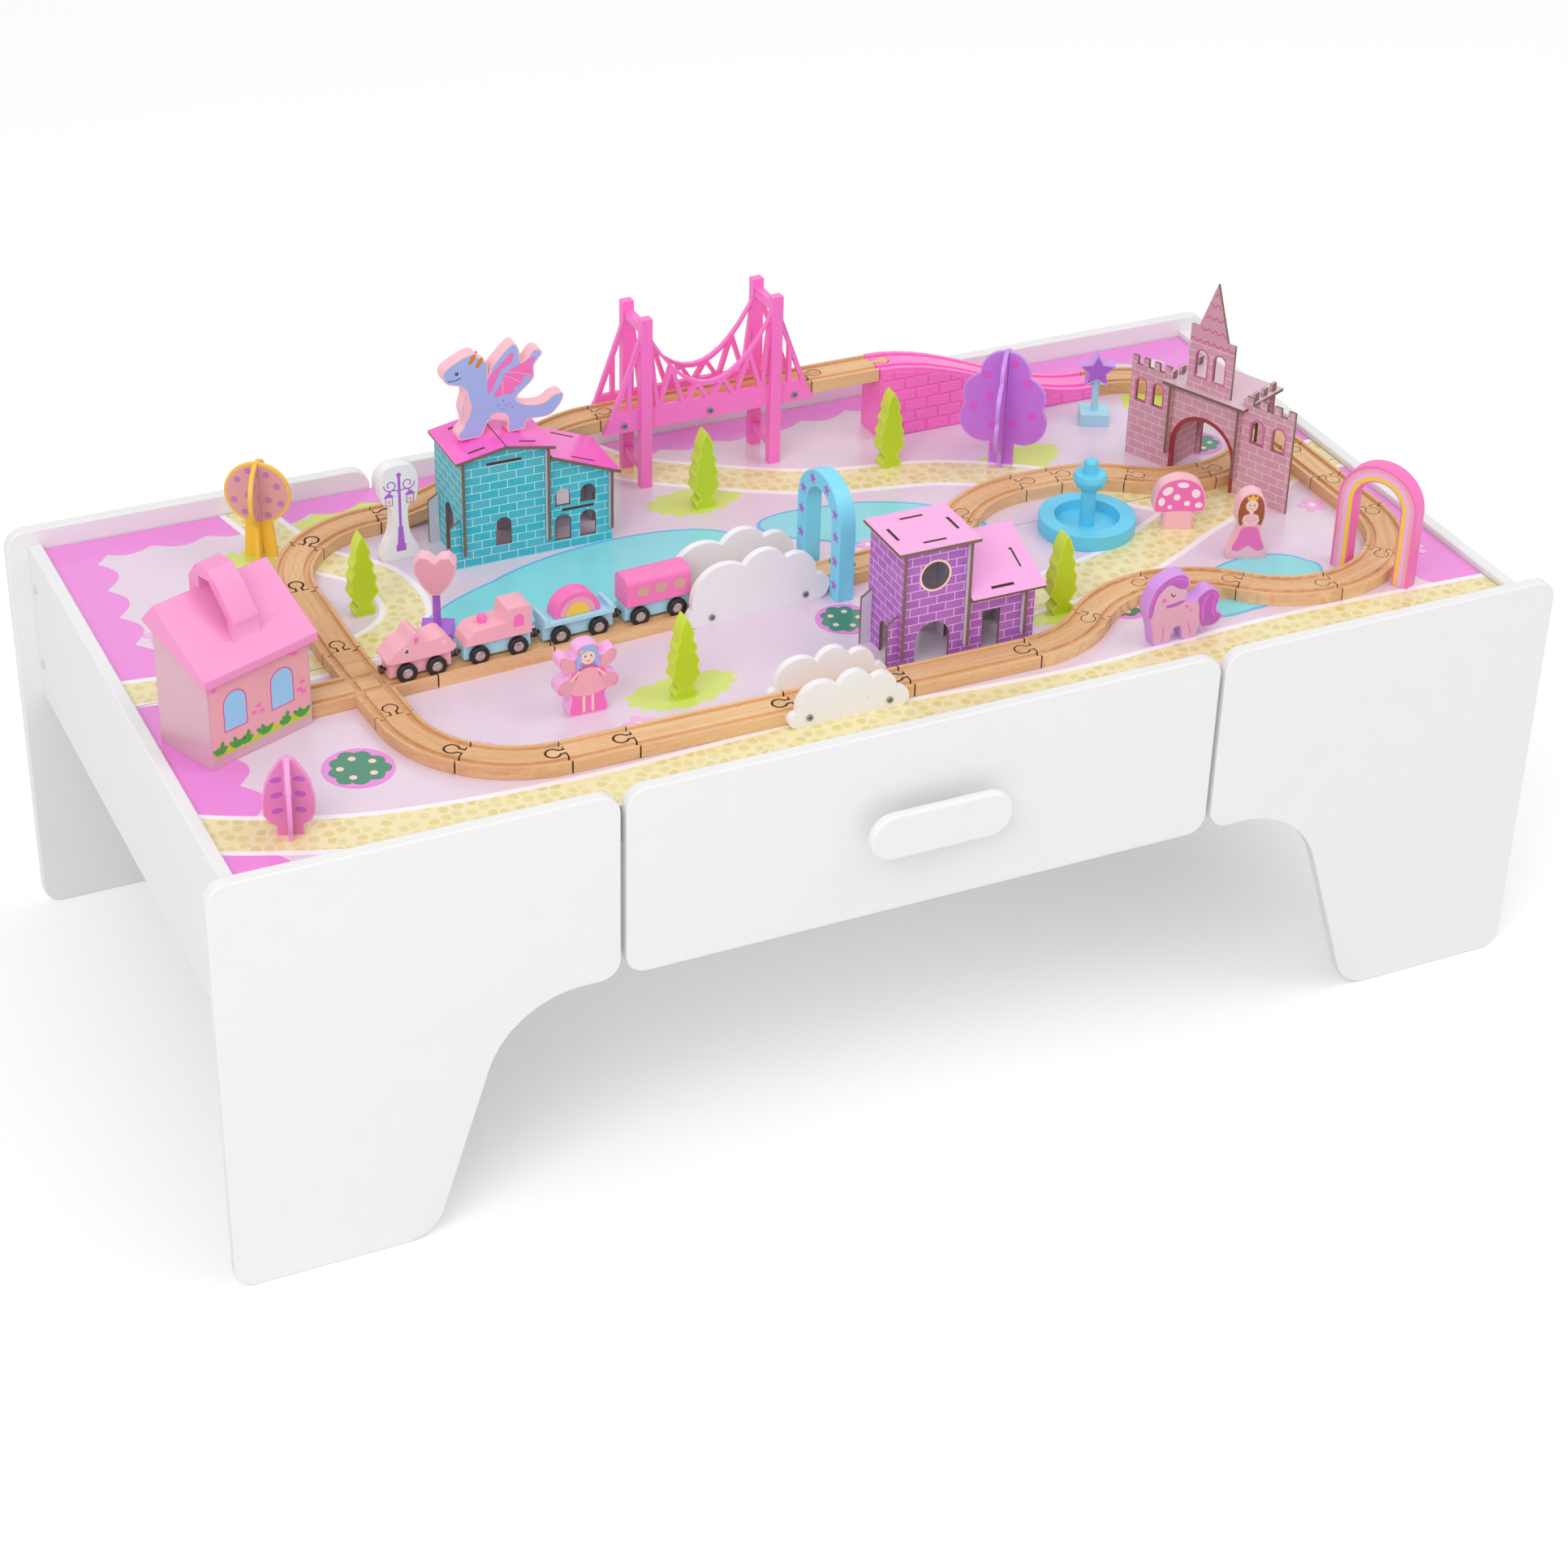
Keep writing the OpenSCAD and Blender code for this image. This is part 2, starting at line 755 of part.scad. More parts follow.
// Turned band of the switch's branch between two distances from the curve's centre
module branch_band(r0, r1, z, h) {
    translate([0, -curve_r, z]) rotate(90 - half_angle) rotate_extrude(angle = half_angle - branch_angle)
        translate([r0, 0]) square([r1 - r0, h]);
}

module switch_piece() {
    difference() {
        union() {
            translate([0, -track_w / 2, 0]) cube([switch_l - joint_gap, track_w, track_h]);
            branch_band(curve_r - track_w / 2, curve_r + track_w / 2, 0, track_h);
            ends_at([0, switch_l]) peg();
        }
        for (side = [-1, 1]) {
            translate([-cut, side * gauge / 2 - groove_w / 2, track_h - groove_d])
                cube([switch_l + 2 * cut, groove_w, groove_d + cut]);
            branch_band(curve_r + side * gauge / 2 - groove_w / 2,
                curve_r + side * gauge / 2 + groove_w / 2,
                track_h - groove_d, groove_d + cut);
        }
        socket();
        ends_at([-1, half_angle]) rotate(180) socket();
    }
}

module right_track() {
    run(right_start, [for (i = [0, 1]) right_pieces[i]]);
    color("burlywood") at(pose(right_start, right_pieces, 2)) switch_piece();
    run(pose(right_start, right_pieces, 3), [for (i = [3, 4]) right_pieces[i]]);
}

module inner_track() {
    run(inner_start, inner_pieces);
}

// Height of the climbing piece's underside at share t of its length
function climb(t) = deck_rise * (1 - cos(180 * t)) / 2;
function climb_line(l, lift) = [for (k = [0:curve_steps])
    [l * k / curve_steps, climb(k / curve_steps) + lift]];
function fall_line(l, lift) = [for (k = [0:curve_steps])
    [l * k / curve_steps, climb(1 - k / curve_steps) + lift]];
function backwards(p) = [for (i = [len(p) - 1:-1:0]) p[i]];

// Band between two lines of a side view, laid across the track at an offset
module across_track(w, offset_y) {
    translate([0, offset_y - w / 2, 0]) upright(w) children();
}

module climbing_piece(l) {
    difference() {
        union() {
            across_track(track_w, 0)
                polygon(concat(climb_line(l - joint_gap, 0),
                    backwards(climb_line(l - joint_gap, track_h))));
            translate([l, 0, deck_rise]) peg();
        }
        for (side = [-1, 1]) across_track(groove_w, side * gauge / 2)
            polygon(concat(climb_line(l, track_h - groove_d), backwards(climb_line(l, track_h + cut))));
        socket();
    }
}

module bridge_track() {
    color("burlywood") {
        at(bridge_start) climbing_piece(bridge_rail);
        translate([0, 0, deck_rise]) {
            at(ahead(bridge_start, bridge_rail)) rail_piece([0, bridge_rail]);
            at(ahead(bridge_start, 2 * bridge_rail)) rail_piece([0, landing_rail]);
        }
    }
}

module brick_ramp() {
    l = ramp_l - joint_gap;
    color("hotpink") at(ramp_start) difference() {
        union() {
            across_track(track_w + 2 * ramp_side, 0)
                polygon(concat([[0, 0]], fall_line(l, track_h), [[l, 0]]));
            translate([ramp_l, 0, 0]) peg();
        }
        for (side = [-1, 1]) across_track(groove_w, side * gauge / 2)
            polygon(concat(fall_line(l, track_h - groove_d), backwards(fall_line(l, track_h + cut))));
        translate([0, 0, deck_rise]) socket();
        across_track(track_w + 2 * ramp_side - 2 * ramp_wall, 0)
            polygon(concat([[2 * track_h, -cut]],
                [for (p = fall_line(l, -ramp_wall)) if (p.x > 2 * track_h && p.y > ramp_wall) p],
                [[l / 2 + track_h, -cut]]));
    }
}

// Bridge

girder_z = deck_rise - ramp_side;
tower_xs = [tower_in, bridge_rail - tower_in];
span = tower_xs[1] - tower_xs[0];
cable_low = girder_z + girder_h + cable_rise;
function cable_z(x) =
    cable_low + (tower_h - tower_w - cable_low) * pow((2 * x - tower_xs[0] - tower_xs[1]) / span, 2);

module lattice() {
    hangers = 10;
    step = span / hangers;
    cable = [for (k = [0:curve_steps]) let (x = tower_xs[0] + span * k / curve_steps) [x, cable_z(x)]];
    top = girder_z + girder_h;
    polygon([[0, girder_z], [bridge_rail, girder_z], [bridge_rail - tower_w, top], [tower_w, top]]);
    polygon(concat([for (p = cable) p - [0, bar_t / 2]], backwards([for (p = cable) p + [0, bar_t / 2]])));
    for (i = [1:2:hangers - 1], d = [-1, 1]) {
        x = tower_xs[0] + step * i;
        far = x + d * step;
        inner = min(max(far, tower_xs[0] + bar_t), tower_xs[1] - bar_t);
        bar([x, top - bar_t], [inner, cable_z(inner)], bar_t);
    }
    for (x = [0, 1]) {
        end = x == 0 ? [tower_w, top - bar_t] : [bridge_rail - tower_w, top - bar_t];
        bar(end, [tower_xs[x], tower_h - tower_w], bar_t);
        bar((end + [tower_xs[x], top - bar_t]) / 2, (end + [tower_xs[x], tower_h - tower_w]) / 2, bar_t);
    }
}

module bridge_frame() {
    color("hotpink") at(ahead(bridge_start, bridge_rail)) {
        for (side = [0, 1]) mirror([0, side, 0]) {
            translate([0, track_w / 2, 0]) upright(lattice_t) lattice();
            for (x = tower_xs) translate([x - tower_w / 2, track_w / 2, 0])
                cube([tower_w, tower_t, tower_h]);
        }
        for (x = tower_xs, z = [2 * beam_t, tower_h - 2 * beam_t])
            translate([x - beam_t / 2, -track_w / 2, z]) cube([beam_t, track_w, beam_t]);
    }
}

// Cloud panels on both sides of a track

puff_shares = [[-0.24, 0.40, 0.52], [0.04, 0.62, 0.38], [0.26, 0.50, 0.33], [0.42, 0.22, 0.20]];

module cloud_outline(l, h) {
    foot = h / 3;
    translate([-l / 2 + foot / 2, 0]) square([l - foot, foot]);
    for (p = puff_shares) intersection() {
        translate([p[0] * l, p[1] * h]) circle(p[2] * h);
        translate([-l, 0]) square([2 * l, 2 * h]);
    }
    for (x = [foot / 2 - l / 2, l / 2 - foot / 2]) translate([x, foot / 2]) circle(foot / 2);
}

module cloud_pair(l, h) {
    for (side = [0, 1]) mirror([0, side, 0]) translate([0, track_w / 2, 0])
        upright(cloud_t) cloud_outline(l, h);
}

long_cloud_pose = [cross.x + long_cloud_share * line_l * along.x,
    cross.y + long_cloud_share * line_l * along.y, lean];
short_cloud_pose = [cross_bottom.x + curve_r + short_cloud_share * wave_l * 2, front_line, 0];

module cloud_tunnels() {
    color("white") {
        at(long_cloud_pose) cloud_pair(long_cloud, long_cloud_h);
        at(short_cloud_pose) cloud_pair(short_cloud, short_cloud_h);
    }
}

// Screw heads along one side of a track and along the other
module screw_rows(xs, z, y) {
    for (side = [0, 1], x = xs) mirror([0, side, 0]) translate([x, y, z]) rotate([-90, 0, 0])
        cylinder(r = screw_r, h = screw_t);
}

module toy_screws() {
    color("silver") {
        at(ahead(bridge_start, bridge_rail))
            screw_rows([tower_in / 2, bridge_rail / 2, bridge_rail - tower_in / 2], girder_z + girder_h / 3,
                track_w / 2 + lattice_t);
        at(long_cloud_pose)
            screw_rows([-long_cloud / 3, long_cloud / 3], track_h * 2 / 3, track_w / 2 + cloud_t);
        at(short_cloud_pose)
            screw_rows([-short_cloud / 3, short_cloud / 3], track_h * 2 / 3, track_w / 2 + cloud_t);
    }
}

// Train, along the inner line; heights count from the top of the track

axle_z = wheel_r + roll_gap - groove_d;
engine_s = loco_s + loco_l / 2 + car_gap + engine_l / 2;
wagon_s = engine_s + engine_l / 2 + car_gap + wagon_l / 2;
coach_s = wagon_s + wagon_l / 2 + car_gap + coach_l / 2;

module car(s) {
    at([cross.x + s * along.x, cross.y + s * along.y, lean]) translate([0, 0, track_h]) children();
}

module axle_bores(base) {
    for (x = [-base / 2, base / 2]) translate([x, body_w, axle_z]) rotate([90, 0, 0])
        cylinder(r = axle_r + axle_clear, h = 2 * body_w);
}

module wheelset(s, x) {
    hub = gauge / 2 - wheel_t / 2;
    half_axle = gauge / 2 + wheel_t / 2;
    color("black") car(s) translate([x, 0, axle_z]) rotate([90, 0, 0]) rotate_extrude()
        polygon([[0, -half_axle], [wheel_r, -half_axle], [wheel_r, -hub], [axle_r, -hub],
            [axle_r, hub], [wheel_r, hub], [wheel_r, half_axle], [0, half_axle]]);
}

// Magnets with their stems at both ends of a car
module couplers(s, l) {
    reach = car_gap / 2 - roll_gap;
    color("black") car(s) for (side = [0, 1]) mirror([side, 0, 0])
        translate([l / 2, 0, axle_z + axle_r]) rotate([0, 90, 0]) {
            cylinder(r = stem_r, h = reach / 2);
            translate([0, 0, reach / 2]) cylinder(r = magnet_r, h = reach / 2);
        }
}

module chassis(s, l, base) {
    color("lightblue") car(s) difference() {
        translate([-l / 2, -keel_w / 2, keel_z]) cube([l, keel_w, deck_z - keel_z]);
        axle_bores(base);
    }
}

// Wooden body of a side outline, as wide as the cars above the wheels
module side_body(w) {
    translate([0, -w / 2, 0]) upright(w) children();
}

loco_shares = [[-0.50, 0.04], [-0.47, 0.30], [-0.36, 0.52], [-0.22, 0.68], [-0.12, 1.00], [-0.02, 0.92],
    [0.04, 0.62], [0.20, 0.60], [0.36, 0.66], [0.47, 0.50], [0.50, 0.04]];

module loco_body() {
    color("pink") car(loco_s) {
        difference() {
            translate([-loco_l / 2, -keel_w / 2, keel_z]) cube([loco_l, keel_w, deck_z - keel_z]);
            axle_bores(loco_base);
        }
        translate([0, 0, deck_z]) side_body(body_w) polygon(smooth(scaled(loco_shares, loco_l, loco_h)));
    }
}

module loco_couplers() {
    couplers(loco_s, loco_l);
}

module engine_chassis() {
    chassis(engine_s, engine_l, car_base);
}

engine_shares = [[-0.50, 0.00, 0], [0.50, 0.00, 0], [0.50, 0.94, 0.05], [0.42, 1.00, 0.06],
    [0.14, 1.00, 0.05],
    [0.10, 0.56, 0.02], [-0.36, 0.50, 0.16], [-0.46, 0.26, 0.06]];

module engine_body() {
    color("pink") car(engine_s) translate([0, 0, deck_z]) {
        side_body(body_w)
            polygon(rounded([for (s = engine_shares) [s.x * engine_l, s.y * engine_h, s[2] * engine_h]]));
        translate([-engine_l / 6, 0, engine_h / 2]) cylinder(r = magnet_r, h = engine_h / 4);
    }
}

module engine_couplers() {
    couplers(engine_s, engine_l);
}

module wagon_chassis() {
    chassis(wagon_s, wagon_l, car_base);
    color("lightblue") car(wagon_s) translate([0, 0, deck_z]) {
        translate([-wagon_l / 2, -body_w / 2, 0]) cube([wagon_l, body_w, bar_t]);
        for (side = [0, 1]) mirror([side, 0, 0]) translate([-wagon_l / 2, -body_w / 2, bar_t])
            cube([bar_t, body_w, bar_t]);
    }
}

module wagon_rainbow() {
    color("violet") car(wagon_s) translate([0, 0, deck_z + bar_t])
        side_body(body_w * 2 / 3) intersection() {
        circle(load_r);
        translate([-load_r, 0]) square([2 * load_r, load_r]);
    }
}

module wagon_couplers() {
    couplers(wagon_s, wagon_l);
}

module coach_chassis() {
    chassis(coach_s, coach_l, car_base);
}

module coach_cabin() {
    r = coach_h / 4;
    color("hotpink") car(coach_s) translate([-coach_l / 2, -body_w / 2, deck_z]) rotate([90, 0, 90])
        linear_extrude(height = coach_l)
            polygon(rounded([[0, 0, 0], [body_w, 0, 0], [body_w, coach_h, r], [0, coach_h, r]]));
}

module coach_couplers() {
    couplers(coach_s, coach_l);
}

module loco_front_wheels() {
    wheelset(loco_s, -loco_base / 2);
}

module loco_rear_wheels() {
    wheelset(loco_s, loco_base / 2);
}

module engine_front_wheels() {
    wheelset(engine_s, -car_base / 2);
}

module engine_rear_wheels() {
    wheelset(engine_s, car_base / 2);
}

module wagon_front_wheels() {
    wheelset(wagon_s, -car_base / 2);
}

module wagon_rear_wheels() {
    wheelset(wagon_s, car_base / 2);
}

module coach_front_wheels() {
    wheelset(coach_s, -car_base / 2);
}

module coach_rear_wheels() {
    wheelset(coach_s, car_base / 2);
}

// Slot-together houses: the cross walls hang in slots that open at the top of the long walls

low_share = 0.2;
flap_shares = [0.46, 0.40];

// Long wall of an outline, with slots for the cross walls above a height; the children are cut out
module long_wall(outline, slots, low) {
    upright(ply) difference() {
        polygon(outline);
        for (x = slots) translate([x - slot_clear, low]) square([ply + 2 * slot_clear, table_h]);
        children();
    }
}

// Cross wall between two long walls that are d apart over their outer faces, h0 high at the front, h1
// at the back
module cross_wall(d, h0, h1, low) {
    inner = ply + slot_clear;
    step = low + slot_clear;
    rotate(90) translate([0, -ply, 0]) upright(ply) difference() {
        polygon([[inner, 0], [d - inner, 0], [d - inner, step], [d + flap, step], [d + flap, h1],
            [-flap, h0],
            [-flap, step], [inner, step]]);
        children();
    }
}

// Lower left end of a long wall, which runs out past its first cross wall
function left_end(h) = [[0, h * flap_shares[0]], [-2 * flap, h * flap_shares[1]], [-2 * flap, 0]];

gable_slope = atan2(gable_rise, teal_w / 2 + flap);
wing_slope = 2 * gable_slope;
teal_end = teal_w + teal_wing;
wing_high = teal_low + teal_wing * tan(wing_slope);
teal_outline = concat([[teal_end, 0], [teal_end, teal_low], [teal_w, wing_high],
    [teal_w, teal_h + flap * tan(gable_slope)], [teal_w / 2, teal_h + gable_rise],
    [0, teal_h + flap * tan(gable_slope)]], left_end(teal_h));
teal_slots = [0, teal_w - ply, teal_end - ply];

module at_teal() {
    on_board(place(teal_share), 0) children();
}

// One long wall of the teal house, with a window or a door in its main part
module teal_long_wall(main_share) {
    wing_shares = [[0.22, 0.14, 0.26, 0.36], [0.62, 0.14, 0.26, 0.36], [0.22, 0.62, 0.24, 0.24],
        [0.62, 0.62, 0.24, 0.24]];
    long_wall(teal_outline, teal_slots, low_share * teal_low) {
        opening(main_share, teal_w, teal_h, true);
        translate([teal_w, 0]) for (o = wing_shares) opening(o, teal_wing, teal_low, true);
    }
}

module teal_house_walls() {
    window_share = [0.48, 0.16, 0.18, 0.26];
    door_share = [0.5, -0.01, 0.34, 0.5];
    low = low_share * teal_low;
    color("turquoise") at_teal() {
        teal_long_wall(window_share);
        translate([0, teal_d - ply, 0]) teal_long_wall(door_share);
        for (x = [0, teal_w - ply]) translate([x, 0, 0]) cross_wall(teal_d, teal_h, teal_h, low)
            opening(door_share, teal_d, teal_h, true);
        translate([teal_end - ply, 0, 0]) cross_wall(teal_d, teal_low, teal_low, low)
            opening(door_share, teal_d, teal_low, true);
    }
}

// Roof plate that starts at x = 0, with two slots
module roof_plate(l, d) {
    slot_l = l / 3;
    translate([0, -eave, 0]) difference() {
        cube([l, d + 2 * eave, ply]);
        for (y = [eave + ply, d + eave - 2 * ply])
            translate([(l - slot_l) / 2, y, -cut]) cube([slot_l, ply, ply + 2 * cut]);
    }
}

module teal_house_roof() {
    half = (teal_w / 2 + flap) / cos(gable_slope);
    wing_l = (teal_wing + eave) / cos(wing_slope);
    color("hotpink") at_teal() {
        translate([teal_w / 2, 0, teal_h + gable_rise]) for (side = [0, 1]) mirror([side, 0, 0])
            rotate([0, gable_slope, 0]) roof_plate(half, teal_d);
        translate([teal_w + slot_clear, 0, wing_high]) rotate([0, wing_slope, 0])
            roof_plate(wing_l, teal_d);
    }
}

shed_slope = atan2(shed_rise, purple_d);
purple_end = purple_w + purple_wing;
purple_slots = [0, purple_w - ply, purple_end - 2 * flap - ply];

// Height of the shed roof's underside at depth y
function shed_z(y) = purple_low + y * tan(shed_slope);

module at_purple() {
    on_board([purple_share * table_w, front_line + track_w / 2 + purple_yard], 0) children();
}

// One long wall of the purple house, with its wing as high as given
module purple_long_wall(wing_h) {
    door_share = [0.5, -0.01, 0.50, 0.36];
    wing_share = [0.36, -0.01, 0.26, 0.70];
    outline = concat([[purple_end, 0], [purple_end, wing_h], [purple_w, wing_h], [purple_w, purple_h],
        [0, purple_h]],
        left_end(purple_h));
    long_wall(outline, purple_slots, low_share * purple_low) {
        opening(door_share, purple_w, purple_h, true);
        translate([purple_w, 0]) opening(wing_share, purple_wing, purple_low, false);
        children();
    }
}

module purple_house_walls() {
    side_share = [0.5, -0.01, 0.30, 0.30];
    low = low_share * purple_low;
    color("mediumorchid") at_purple() {
        purple_long_wall(shed_z(0)) translate([purple_w / 2, purple_h * 3 / 4]) circle(purple_w / 5);
        translate([0, purple_d - ply, 0]) purple_long_wall(shed_z(purple_d - ply))
            translate([purple_w / 2, purple_h * 3 / 4]) circle(purple_w / 5);
        for (x = [0, purple_w - ply]) translate([x, 0, 0]) cross_wall(purple_d, purple_h, purple_h, low)
            opening(side_share, purple_d, purple_h, true);
        translate([purple_end - 2 * flap - ply, 0, 0])
            cross_wall(purple_d, shed_z(-flap), shed_z(purple_d + flap), low)
                opening(side_share, purple_d, purple_low, true);
    }
}

module purple_house_roof() {
    slot = [purple_w / 3, ply];
    over = flap + ply;
    shed_d = (purple_d + 2 * over) / cos(shed_slope);
    color("violet") at_purple() {
        translate([-eave, -over, purple_h]) difference() {
            cube([purple_w + 2 * eave, purple_d + 2 * over, ply]);
            for (y = [over + ply, purple_d + over - 2 * ply])
                translate([purple_w / 2 + eave - slot.x / 2, y, -cut])
                    cube([slot.x, slot.y, ply + 2 * cut]);
            for (x = [eave + ply, purple_w + eave - 2 * ply])
                translate([x, purple_d / 2 + over - slot.x / 2, -cut])
                    cube([slot.y, slot.x, ply + 2 * cut]);
        }
        translate([purple_w + slot_clear, 0, purple_low]) rotate([shed_slope, 0, 0])
            translate([0, -over, 0]) difference() {
                cube([purple_wing + eave, shed_d, ply]);
                translate([purple_wing / 3, over, -cut]) cube([slot.x, slot.y, ply + 2 * cut]);
                translate([purple_wing - 2 * flap, shed_d / 3, -cut]) cube([slot.y, slot.x, ply + 2 * cut]);
            }
    }
}

// Castle: a long front wall with the gate, a back wall and two cross walls that lap over them

module at_castle() {
    on_board(gate_pose, castle_angle) translate([-gate_w / 2 - gate_shift, -gate_d / 2, 0]) children();
}

merlon_count = 4;
merlon_steps = 2 * merlon_count - 1;

// Upper edge of a wall with merlons, from x to x + l
function battlement(x, l, h) =
    [for (i = [0:merlon_steps - 1], k = [0, 1])
        [x + (i + k) * l / merlon_steps, i % 2 == 0 ? h + merlon_h : h]];

module archway() {
    mouth = archway_w / 2;
    translate([gate_w / 2 - mouth, -cut]) square([archway_w, archway_h - mouth + cut]);
    translate([gate_w / 2, archway_h - mouth]) circle(mouth);
}

castle_outline = concat([[gate_w + right_wing, 0], [-left_wing, 0]],
    battlement(-left_wing, left_wing, wing_h),
    [[0, gate_h], [gate_w, gate_h]], battlement(gate_w, right_wing, wing_h));

module castle_walls() {
    slots = [ply, gate_w - 2 * ply];
    window_shares = [[0.28, 0.62, 0.24, 0.24], [0.72, 0.62, 0.24, 0.24]];
    slit_share = [0.5, 0.5, 0.2, 0.24];
    low = low_share * gate_h;
    color("rosybrown") at_castle() {
        long_wall(castle_outline, slots, low) {
            archway();
            translate([-left_wing, 0]) for (o = window_shares) opening(o, left_wing, wing_h, true);
            translate([gate_w, 0]) for (o = window_shares) opening(o, right_wing, wing_h, true);
        }
        translate([0, gate_d - ply, 0])
            long_wall([[0, 0], [gate_w, 0], [gate_w, gate_h], [0, gate_h]], slots, low) archway();
        for (x = slots) translate([x, 0, 0]) cross_wall(gate_d, gate_h, gate_h, low)
            opening(slit_share, gate_d, gate_h, true);
    }
}

module castle_roof() {
    shoulder = spire_h * 0.5;
    window_shares = [[-0.2, 0.12, 0.24, 0.24], [0.2, 0.12, 0.24, 0.24]];
    color("rosybrown") at_castle() {
        translate([-ply, -flap - ply, gate_h]) difference() {
            cube([gate_w + 2 * ply, gate_d + 2 * (flap + ply), ply]);
            for (x = [-cut, gate_w + ply - slot_clear]) translate([x, flap + ply - slot_clear, -cut])
                cube([ply + slot_clear + cut, ply + 2 * slot_clear, ply + 2 * cut]);
        }
        translate([gate_w / 2, 0, gate_h + ply]) upright(ply) difference() {
            polygon([[-spire_w / 2, 0], [spire_w / 2, 0], [spire_w / 2, shoulder],
                [spire_w / 3, shoulder], [0, spire_h], [-spire_w / 3, shoulder + merlon_h],
                [-spire_w / 2, shoulder + merlon_h]]);
            for (o = window_shares) opening(o, spire_w, spire_h, true);
        }
        for (x = [0, gate_w - ply]) translate([x, 0, gate_h + ply]) rotate(90) translate([0, -ply, 0])
            upright(ply) for (i = [0:2:merlon_steps - 1]) translate([i * gate_d / merlon_steps, 0])
                square([gate_d / merlon_steps, merlon_h]);
    }
}

// Station, with a lid that lifts off

module at_station() {
    on_board(place(station_share), station_angle) children();
}

rear_h = station_h + station_rise;

module station_case() {
    doorway = track_w + 4 * ply;
    color("pink") at_station() difference() {
        rotate([90, 0, 90]) linear_extrude(height = station_l)
            polygon([[0, 0], [station_d, 0], [station_d, rear_h], [0, station_h]]);
        translate([station_t, station_t, -cut])
            cube([station_l - 2 * station_t, station_d - 2 * station_t, rear_h + 2 * cut]);
        translate([station_l / 2, station_t, -cut]) cube([station_l, doorway, station_h * 2 / 3]);
    }
}

// Height of the sloping upper edge of the station walls at depth y
function wall_top(y) = y * station_rise / station_d;

module station_roof() {
    rim = 2 * station_t;
    ridge = station_rise + ridge_rise;
    crown = ridge + grip_h;
    shell = [[-eave, wall_top(-eave)], [station_d + eave, wall_top(station_d + eave)],
        [station_d * 5 / 6, ridge],
        [station_d / 3, station_rise / 2 + 2 * lid_t], [-eave, lid_t]];
    hollow = [[rim, wall_top(rim) - cut], [station_d - rim, wall_top(station_d - rim) - cut],
        [station_d * 5 / 6, ridge - 2 * lid_t], [station_d / 3, station_rise / 2]];
    grip_shares = [[0.16, 0.10], [1.00, 0.50], [1.00, 0.82], [0.86, 1.00], [0.62, 1.00], [0.42, 0.84],
        [0.16, 0.48]];
    finger_shares = [[0.30, 0.20], [0.80, 0.60], [0.80, 0.86], [0.62, 0.86], [0.30, 0.48]];
    color("hotpink") at_station() translate([0, 0, station_h + roll_gap]) {
        difference() {
            translate([-eave, 0, 0]) rotate([90, 0, 90])
                linear_extrude(height = station_l + 2 * eave) polygon(shell);
            translate([rim, 0, 0]) rotate([90, 0, 90])
                linear_extrude(height = station_l - 2 * rim) polygon(hollow);
        }
        translate([station_l / 2 - grip_w / 2, 0, 0]) rotate([90, 0, 90]) linear_extrude(height = grip_w)
            difference() {
                polygon(scaled(grip_shares, station_d, crown));
                polygon(scaled(finger_shares, station_d, crown));
                polygon(shell);
            }
    }
}

// Arches and fountain

module arch_board() {
    outer = arch_w / 2;
    inner = outer - arch_band;
    translate([0, -arch_t / 2, 0]) upright(arch_t) difference() {
        union() {
            translate([-outer, 0]) square([arch_w, arch_h - outer]);
            translate([0, arch_h - outer]) circle(outer);
        }
        translate([-inner, -cut]) square([2 * inner, arch_h - outer + cut]);
        translate([0, arch_h - outer]) circle(inner);
    }
}

rainbow_pose = turned(wave_start, -1, 90 - rainbow_angle);
blue_arch_s = long_cloud_share * line_l + long_cloud / 2 + arch_gap + arch_t / 2;
blue_arch_pose = [cross.x + blue_arch_s * along.x, cross.y + blue_arch_s * along.y, lean];

module arches() {
    color("hotpink") at(rainbow_pose) rotate(90) arch_board();
    color("skyblue") at(blue_arch_pose) rotate(90) arch_board();
}

// The fountain stands between the wavy line and the crest of the inner line
wave_top = front_line + curve_r;
fountain_spot = [crest.x + fountain_side,
    wave_top + fountain_share * (crest.y - track_w / 2 - wave_top)];

module fountain() {
    floor_t = basin_h / 3;
    neck = fountain_h / 2;
    cup_h = fountain_h / 4;
    color("deepskyblue") on_board(fountain_spot, 0) {
        rotate_extrude() polygon([[0, 0], [basin_r, 0], [basin_r, basin_h], [basin_r - basin_rim, basin_h],
            [basin_r - basin_rim, floor_t], [0, floor_t]]);
        translate([0, 0, floor_t]) rotate_extrude() polygon([[0, 0], [pillar_r, 0], [pillar_r, neck],
            [cup_r * 0.8, neck + cup_h / 4], [cup_r, neck + cup_h * 2 / 3], [cup_r * 0.9, neck + cup_h],
            [pillar_r, neck + cup_h], [pillar_r, fountain_h - floor_t - pillar_r / 2],
            [pillar_r * 0.7, fountain_h - floor_t], [0, fountain_h - floor_t]]);
    }
}

// Trees

fir_shares_half = [[0.30, 0.00], [0.38, 0.08], [0.20, 0.14], [0.48, 0.28], [0.38, 0.38], [0.44, 0.46],
    [0.30, 0.56],
    [0.36, 0.63], [0.22, 0.72], [0.26, 0.79], [0.12, 0.93], [0.00, 1.00]];

module fir() {
    translate([0, -figure_t / 2, 0]) upright(figure_t)
        polygon(both_halves(scaled(fir_shares_half, fir_w, fir_h)));
}

// Two crossed boards of one outline, slotted into each other at half their height
module crossed(h) {
    slot = leaf_t / 2 + slot_clear;
    for (k = [0, 1]) rotate(90 * k) translate([0, -leaf_t / 2, 0]) upright(leaf_t) difference() {
        children();
        translate([-slot, k == 0 ? h / 2 - slot_clear : -cut]) square([2 * slot, h / 2 + cut + slot_clear]);
    }
}

